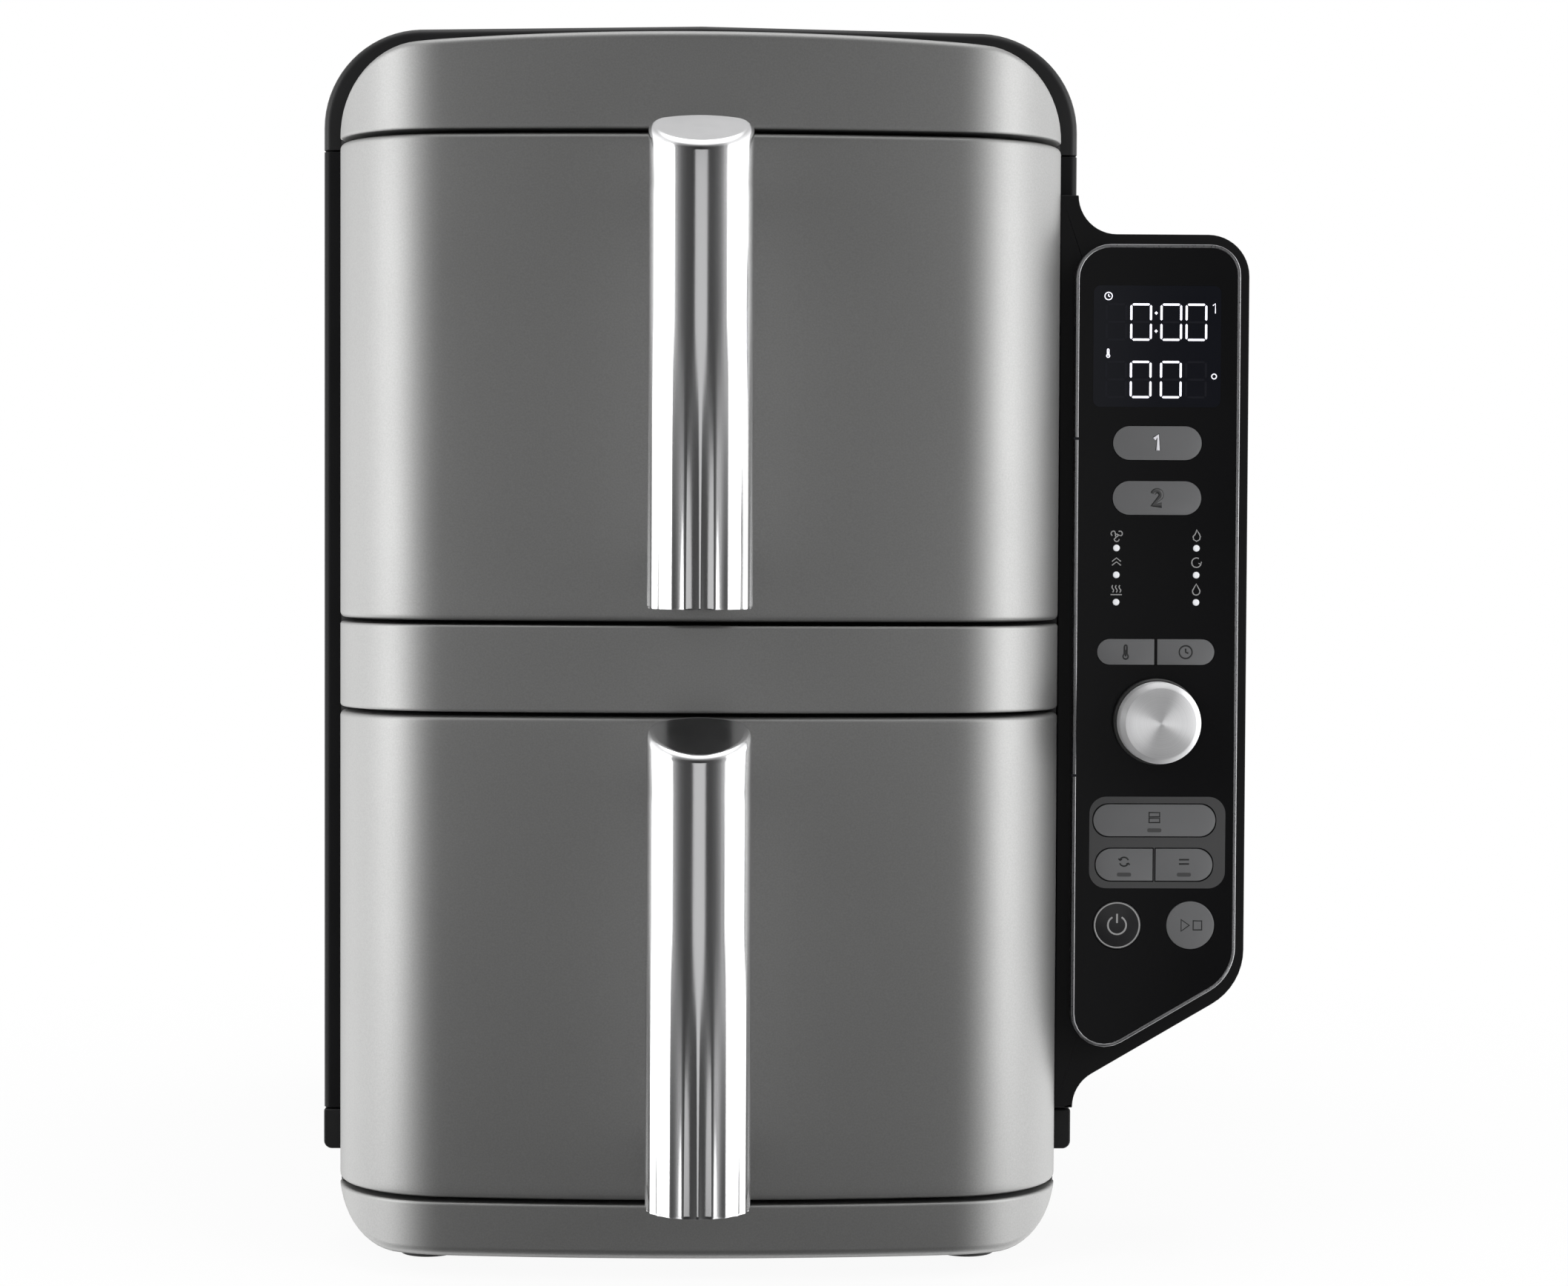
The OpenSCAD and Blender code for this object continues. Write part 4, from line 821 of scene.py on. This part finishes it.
plate_low, plate_high = panel_top - 200.8, panel_top - 172.1
plate_mid = panel_mid + 0.95
plate_half = 21.3
plate_corner_r = 5.3
plate_thick = 0.08
shape = bmesh.new()
slab(shape, panel_face - plate_thick, plate_thick,
     square(plate_mid - plate_half, plate_low, plate_mid + plate_half, plate_high, plate_corner_r),
     key_hole("key_wide", 38.2, end_r, end_r), key_hole("key_sync", 17.825, end_r, meeting_r),
     key_hole("key_match", 17.825, meeting_r, end_r))
make_piece(shape, "key_plate", plate_grey, "housing", 30)
one = [[(-0.75, 0.95), (0.15, 1.75), (0.15, -1.75)]]
two = [ring(0, 0.75, 1.0, 165, -35) + [(-1.0, -1.7), (1.15, -1.7)]]
for key, lines, ink in (("key_one", one, label_white), ("key_two", two, plate_grey)):
    x, z = key_middle(key)
    grown = moved(lines, x, z, 1.3)
    print_marks(key + "_edge", grown, 1.95, key_face, label_dark, key)
    print_marks(key + "_number", grown, 1.25, key_face - 0.04, ink, key)
boxes = [[(-1.1, 0.15), (1.1, 0.15), (1.1, 1.05), (-1.1, 1.05), (-1.1, 0.15)],
         [(-1.1, -1.05), (1.1, -1.05), (1.1, -0.15), (-1.1, -0.15), (-1.1, -1.05)]]
round_arrows = [ring(0, 0, 0.9, 20, 160), ring(0, 0, 0.9, 200, 340),
                [(-1.15, 0.62), (-0.82, 0.3), (-0.45, 0.52)],
                [(1.15, -0.62), (0.82, -0.3), (0.45, -0.52)]]
equals = [[(-0.9, 0.38), (0.9, 0.38)], [(-0.9, -0.38), (0.9, -0.38)]]
go_stop = [[(-1.5, -0.95), (-1.5, 0.95), (-0.15, 0), (-1.5, -0.95)],
           [(0.5, -0.75), (1.9, -0.75), (1.9, 0.75), (0.5, 0.75), (0.5, -0.75)]]
key_marks = (("key_temp", thermometer, 0, 1.9), ("key_time", clock, 0, 2.0),
             ("key_wide", boxes, 0.9, 1.5), ("key_sync", round_arrows, 0.95, 1.55),
             ("key_match", equals, 0.95, 1.75), ("key_start", go_stop, 0, 1.9))
for key, lines, rise, grow in key_marks:
    x, z = key_middle(key)
    print_marks(key + "_mark", moved(lines, x, z + rise, grow), 0.56, key_face, label_dark, key)
key_lamp_half, key_lamp_r = 2.2, 0.5
for key in ("key_wide", "key_sync", "key_match"):
    x, z = key_middle(key)
    shape = bmesh.new()
    slab(shape, key_face - film / 2, film / 2,
         square(x - key_lamp_half, z - 3.7, x + key_lamp_half, z - 2.5, key_lamp_r))
    make_piece(shape, key + "_lamp", plate_grey, key, 30)
x, z = key_middle("key_power")
power_mark = [ring(0, 0, 2.5, 60, -240), [(0, 0.6), (0, 3.1)]]
print_marks("power_ring", [ring(x, z, 7.0, step=6)], 0.48, key_face, label_grey, "key_power")
print_marks("power_mark", moved(power_mark, x, z, 1.15), 0.62, key_face, label_grey, "key_power")

# The dial is a turned aluminium cap, brushed in rings, pressed on a black plastic skirt.
# It is turned about its own shaft, with a fine chamfer round its face.
dial_black = moulded("dial_black", (0.02, 0.02, 0.02), 0.4)
dial_metal, tree, shader, place = finish_nodes("dial_metal", (0.88, 0.88, 0.89), 0.5, 0.85)
dial_low, dial_high = span("dial_cap")
ring_low, ring_high = span("dial_skirt")
dial_x, dial_z = (dial_low.x + dial_high.x) / 2, (dial_low.z + dial_high.z) / 2
dial_r = (dial_high.x - dial_low.x) / 2
lay = add_node(tree, "Tangent", direction_type="RADIAL", axis="Y")
centre = -(to_frame @ Vector((dial_x, dial_low.y, dial_z)))
from_centre = add_node(tree, "Mapping", {"Vector": place, "Location": centre})
flat_way = add_node(tree, "VectorMath", {0: from_centre.outputs["Vector"], 1: (1, 0, 1)},
                    operation="MULTIPLY")
far = add_node(tree, "VectorMath", {0: flat_way.outputs["Vector"]}, operation="LENGTH")
grooves = add_node(tree, "TexNoise", noise_dimensions="1D")
feed(tree, grooves, {"W": far.outputs["Value"], "Scale": 5000, "Detail": 3})
rings = grooves.outputs["Fac"]
feed(tree, shader, {"Base Color": tint(tree, rings, (0.84, 0.84, 0.85), (0.95, 0.95, 0.96)),
                    "Roughness": between(tree, rings, 0.46, 0.55), "Anisotropic": 0.85,
                    "Anisotropic Rotation": 0.25, "Tangent": lay.outputs["Tangent"]})
relief(tree, shader, rings, 0.004)


def turned(name, profile, material, body, sharp=30):
    """Spins a profile of (radius, y) about the dial's axis."""
    shape = bmesh.new()
    tip = shape.verts.new((dial_x + profile[0][0], profile[0][1], dial_z))
    for radius, y in profile[1:]:
        tip = drawn_on(shape, tip, (dial_x + radius, y, dial_z))
    bmesh.ops.spin(shape, geom=list(shape.verts) + list(shape.edges), cent=(dial_x, 0, dial_z),
                   axis=(0, 1, 0), angle=math.tau, steps=96, use_merge=True)
    bmesh.ops.remove_doubles(shape, verts=shape.verts, dist=0.005)
    bmesh.ops.recalc_face_normals(shape, faces=shape.faces)
    return make_piece(shape, name, material, body, sharp)


cap_face = turned("dial_face", [(0, dial_low.y), (4, dial_low.y), (8, dial_low.y),
                                (dial_r - 1.75, dial_low.y), (dial_r - 1.55, dial_low.y + 0.06),
                                (dial_r - 0.14, dial_low.y + 1.45), (dial_r, dial_low.y + 1.7),
                                (dial_r, dial_high.y - 0.3), (dial_r - 0.3, dial_high.y),
                                (0, dial_high.y)], dial_metal, "dial")
ring_r = (ring_high.x - ring_low.x) / 2
ring_front = dial_high.y + 0.05
dial_ring = turned("dial_ring", [(0, ring_front), (dial_r - 0.5, ring_front),
                                 (ring_r - 0.4, ring_front), (ring_r, ring_front + 0.45),
                                 (ring_r, ring_high.y - 0.3), (ring_r - 0.3, ring_high.y),
                                 (0, ring_high.y)], dial_black, "dial")
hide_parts("dial_cap")
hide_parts("dial_skirt")
dress(shaft_steel, 0.2, "dial_shaft")

# Each drawer is a grey front, a coated steel basket screwed to its back, and a handle on
# two black arms. The basket holds a perforated plate on four soft bumpers.
coated_steel = moulded("coated_steel", (0.03, 0.03, 0.032), 0.34, 0.8, 0.012, 1.2)
handle_plastic = moulded("handle_plastic", (0.03, 0.03, 0.03), 0.45)
silicone = moulded("silicone", (0.05, 0.05, 0.05), 0.6, 0.6, 0.02)
drawer_rim_r = 1.7
drawer_reach = frame_front - 0.4
for tier, low, high in zip(tiers, drawer_low, drawer_high):
    drawer = tier + "_drawer"
    skin = front_skin(tier + "_face", lambda x: low, lambda x: high, drawer_rim_r, drawer_rim_r,
                      front_half, drawer_reach, drawer)
    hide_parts(drawer + "_front")
    dress(coated_steel, 0.4, tier + "_basket")
    dress(coated_steel, 0, tier + "_crisper_plate")
    dress(silicone, 0.3, tier + "_plate_bumpers")
    dress(handle_plastic, 0.5, tier + "_handle_core")

# The handle is a chromed cover over the black core: a round front, flat slanted top with
# a soft rim, and flutes that run out upwards from its foot.
handle_chrome, tree, shader, place = finish_nodes("handle_chrome", (0.82, 0.82, 0.83), 0.15, 1.0)
wipe = noise(tree, place, 9, 3, (1, 1, 0.12))
feed(tree, shader, {"Base Color": tint(tree, wipe, (0.8, 0.8, 0.81), (0.85, 0.85, 0.86)),
                    "Roughness": between(tree, wipe, 0.13, 0.18)})
relief(tree, shader, noise(tree, place, 0.4, 2, (1, 1, 0.2)), 0.0015)
grip_r = 15.25
grip_back_r = 6.19
grip_bow_r = 30.4
grip_tall = 133
grip_rim_r = 2.2
grip_foot_r = 0.35
grip_step = 90 / 44
grip_levels = [1.0] + [3.5 * step for step in range(1, 36)] + [155]
grip_slant = math.radians(25.08)
flute_turn = math.radians(90 / 5.5)
flute_depth = 0.42
flute_end = 0.62


def level_at(z):
    """Lays flat points (u, v) in the level plane at z."""
    return lambda u, v: Vector((u, v, z))


for tier in tiers:
    low, high = span(tier + "_handle")
    hub_y = low.y + grip_r
    shape = bmesh.new()
    rim = trace(shape, arch_outline(grip_r, low.y, high.y, grip_bow_r, grip_back_r, grip_r),
                level_at(low.z), grip_step)
    filled(shape, rim)
    for start, end in zip([0] + grip_levels, grip_levels):
        rim = drawn_edges(shape, rim, (0, 0, end - start))
    for vert in shape.verts:
        from_hub = Vector((vert.co.x, vert.co.y - hub_y))
        if from_hub.y < -0.01:
            turn = math.atan2(from_hub.x, -from_hub.y)
            rise = (vert.co.z - low.z) / grip_tall
            fade = max(0, 1 - rise / flute_end)
            inward = flute_depth * fade * abs(math.sin(math.pi * turn / flute_turn))
            vert.co.x -= inward * math.sin(turn)
            vert.co.y += inward * math.cos(turn)
    cut = bmesh.ops.bisect_plane(shape, geom=list(shape.verts) + list(shape.edges) + list(shape.faces),
                                 plane_co=(0, low.y, low.z + grip_tall),
                                 plane_no=(0, -math.sin(grip_slant), math.cos(grip_slant)),
                                 clear_outer=True)["geom_cut"]
    top_rim = only(BMEdge, cut)
    bmesh.ops.contextual_create(shape, geom=top_rim)
    round_off(shape, top_rim, grip_rim_r, 5, False)
    foot_rim = within(shape.edges, lambda spot: spot.z < low.z + 0.001)
    round_off(shape, foot_rim, grip_foot_r, 2)
    bmesh.ops.recalc_face_normals(shape, faces=shape.faces)
    cover = make_piece(shape, tier + "_grip", handle_chrome, tier + "_drawer", 40)
    even_light(cover)
    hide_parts(tier + "_handle")

# A plain pale studio: a white floor that keeps the shadow, soft lamps, and a white world.
# Polished faces see bright walls at the sides and a dark room with one light in front.
floor_white = bpy.data.materials.new("floor_white")
floor_white.use_nodes = True
tree = floor_white.node_tree
tree.nodes.clear()


def reckon(operation, *values):
    """Adds a sum to the node tree at hand, of plain numbers or other nodes' outputs."""
    return add_node(tree, "Math", enumerate(values), operation=operation).outputs["Value"]


seen = add_node(tree, "LightPath")
place = add_node(tree, "TexCoord").outputs["Object"]
distance = add_node(tree, "VectorMath", {0: place}, operation="LENGTH").outputs["Value"]
fade = between(tree, distance, 0.93, 1.0, 0.25, 0.6)
matt = add_node(tree, "BsdfDiffuse", {"Color": (0.85, 0.85, 0.85, 1)})
glow = add_node(tree, "Emission")
blend = add_node(tree, "MixShader", {0: reckon("MULTIPLY", fade, seen.outputs["Is Camera Ray"]),
                                     1: matt.outputs["BSDF"], 2: glow.outputs["Emission"]})
add_node(tree, "OutputMaterial", {"Surface": blend.outputs["Shader"]})
shape = bmesh.new()
bmesh.ops.create_circle(shape, cap_ends=True, segments=96, radius=0.62)
bmesh.ops.transform(shape, matrix=to_sizes, verts=shape.verts)
floor = placed(shape, "floor", floor_white)
floor.visible_glossy = False

world = bpy.data.worlds.new("studio")
bpy.context.scene.world = world
world.use_nodes = True
world.cycles.sampling_method = "NONE"
tree = world.node_tree
tree.nodes.clear()
place = add_node(tree, "TexCoord").outputs["Generated"]
way = add_node(tree, "SeparateXYZ", {"Vector": place})
aside = reckon("ABSOLUTE", reckon("ADD", way.outputs["X"], 0.05))
ahead = reckon("MULTIPLY", way.outputs["Y"], -1.0)
turn = reckon("DIVIDE", reckon("ARCTAN2", aside, ahead), math.pi)
walls = add_node(tree, "ValToRGB", {"Fac": turn})
walls.color_ramp.interpolation = "EASE"
brightest = 2.4
stops = ((0.0, 0.03), (0.15, 0.065), (0.21, 0.1), (0.26, 0.19), (0.31, 0.45), (0.37, 1.2),
         (0.45, 1.4), (0.62, 2.2), (0.72, 2.4), (0.8, 1.6), (0.9, 0.5), (1.0, 0.12))
while len(walls.color_ramp.elements) < len(stops):
    walls.color_ramp.elements.new(0.5)
for element, (spot, bright) in zip(walls.color_ramp.elements, stops):
    element.position = spot
    element.color = (bright / brightest, bright / brightest, bright / brightest, 1)
height = reckon("MULTIPLY_ADD", way.outputs["Y"], 0.5, way.outputs["Z"])
room = add_node(tree, "Mix", {"Factor": between(tree, height, 0, 1, 0.22, 1.0),
                              "A": reckon("MULTIPLY", walls.outputs["Color"], brightest),
                              "B": between(tree, way.outputs["Z"], 0.65, 2.6, 0.78, 0.97)})
seen = add_node(tree, "LightPath")
mirrored = reckon("MULTIPLY", seen.outputs["Is Glossy Ray"], room.outputs["Result"])
clear = reckon("MAXIMUM", seen.outputs["Is Camera Ray"], seen.outputs["Is Transmission Ray"])
plain = reckon("MULTIPLY", reckon("SUBTRACT", 1.0, reckon("MAXIMUM", clear,
               seen.outputs["Is Glossy Ray"])), 0.6)
light = add_node(tree, "Background", {"Color": (1, 1, 1, 1),
                                      "Strength": reckon("ADD", reckon("ADD", mirrored, clear), plain)})
add_node(tree, "OutputWorld", {"Surface": light.outputs["Background"]})


def lamp(name, spot, aim, wide, tall, power, in_mirrors):
    """A soft rectangular lamp; polished faces see it only where it is meant to show."""
    light = bpy.data.lights.new(name, "AREA")
    light.shape = "RECTANGLE"
    light.size = wide
    light.size_y = tall
    light.energy = power
    holder = bpy.data.objects.new(name, light)
    bpy.context.scene.collection.objects.link(holder)
    holder.location = spot
    holder.rotation_euler = (Vector(aim) - Vector(spot)).to_track_quat("-Z", "Y").to_euler()
    holder.visible_glossy = in_mirrors
    holder.visible_camera = False


middle = (0, 0, 0.2)
lamp("lamp_left", (-1.1, -1.0, 1.0), middle, 0.9, 0.9, 9, False)
lamp("lamp_right", (1.2, -1.0, 1.1), middle, 0.9, 0.9, 9, False)
lamp("lamp_top", (0, 0.1, 1.7), middle, 1.1, 1.1, 12, False)
lamp("lamp_front", (-0.016, -1.34, 0.145), (-0.016, 0, 0.145), 0.53, 0.74, 0.72, True)

# A tall glowing sheet at each side, near enough to show more in the front's corners than
# in the handle. It fades out towards its front end, and only polished faces see it.
sheet_glow, tree, shader, place = finish_nodes("sheet_glow", (0, 0, 0), 1.0)
sheet_ends = [(560, -430), (700, -120)]
sheet_low, sheet_high = -90, 760
sheet_front = (to_frame @ Vector((0, sheet_ends[0][1], 0))).y
along = add_node(tree, "SeparateXYZ", {"Vector": place})
rising = between(tree, along.outputs["Y"], 0, 5.2, sheet_front, sheet_front + 0.16)
rising.node.interpolation_type = "SMOOTHSTEP"
feed(tree, shader, {"Specular IOR Level": 0, "Emission Color": (1, 1, 1, 1),
                    "Emission Strength": rising})
for side, name in ((-1, "sheet_left"), (1, "sheet_right")):
    shape = bmesh.new()
    foot = shape.edges.new([shape.verts.new((side * x, y, sheet_low)) for x, y in sheet_ends])
    drawn_edges(shape, [foot], (0, 0, sheet_high - sheet_low))
    sheet = placed(shape, name, sheet_glow)
    sheet.visible_camera = False
    sheet.visible_diffuse = False
    sheet.visible_shadow = False

# The camera stands a metre before the front, a little above the middle, and looks a
# little down and to the right.
lens = bpy.data.cameras.new("camera")
lens.lens = 81.07
lens.sensor_width = 36
lens.clip_end = 30
camera = bpy.data.objects.new("camera", lens)
bpy.context.scene.collection.objects.link(camera)
pitch, yaw, roll = -0.0347, 0.0233, 0.0045
turned_to = (Matrix.Rotation(-yaw, 4, "Z") @ Matrix.Rotation(math.pi / 2 + pitch, 4, "X")
             @ Matrix.Rotation(roll, 4, "Z"))
camera.matrix_world = Matrix.Translation(to_frame @ Vector((0.62, -1060, 230.6))) @ turned_to
bpy.context.scene.camera = camera
bpy.context.scene.view_settings.view_transform = "Standard"
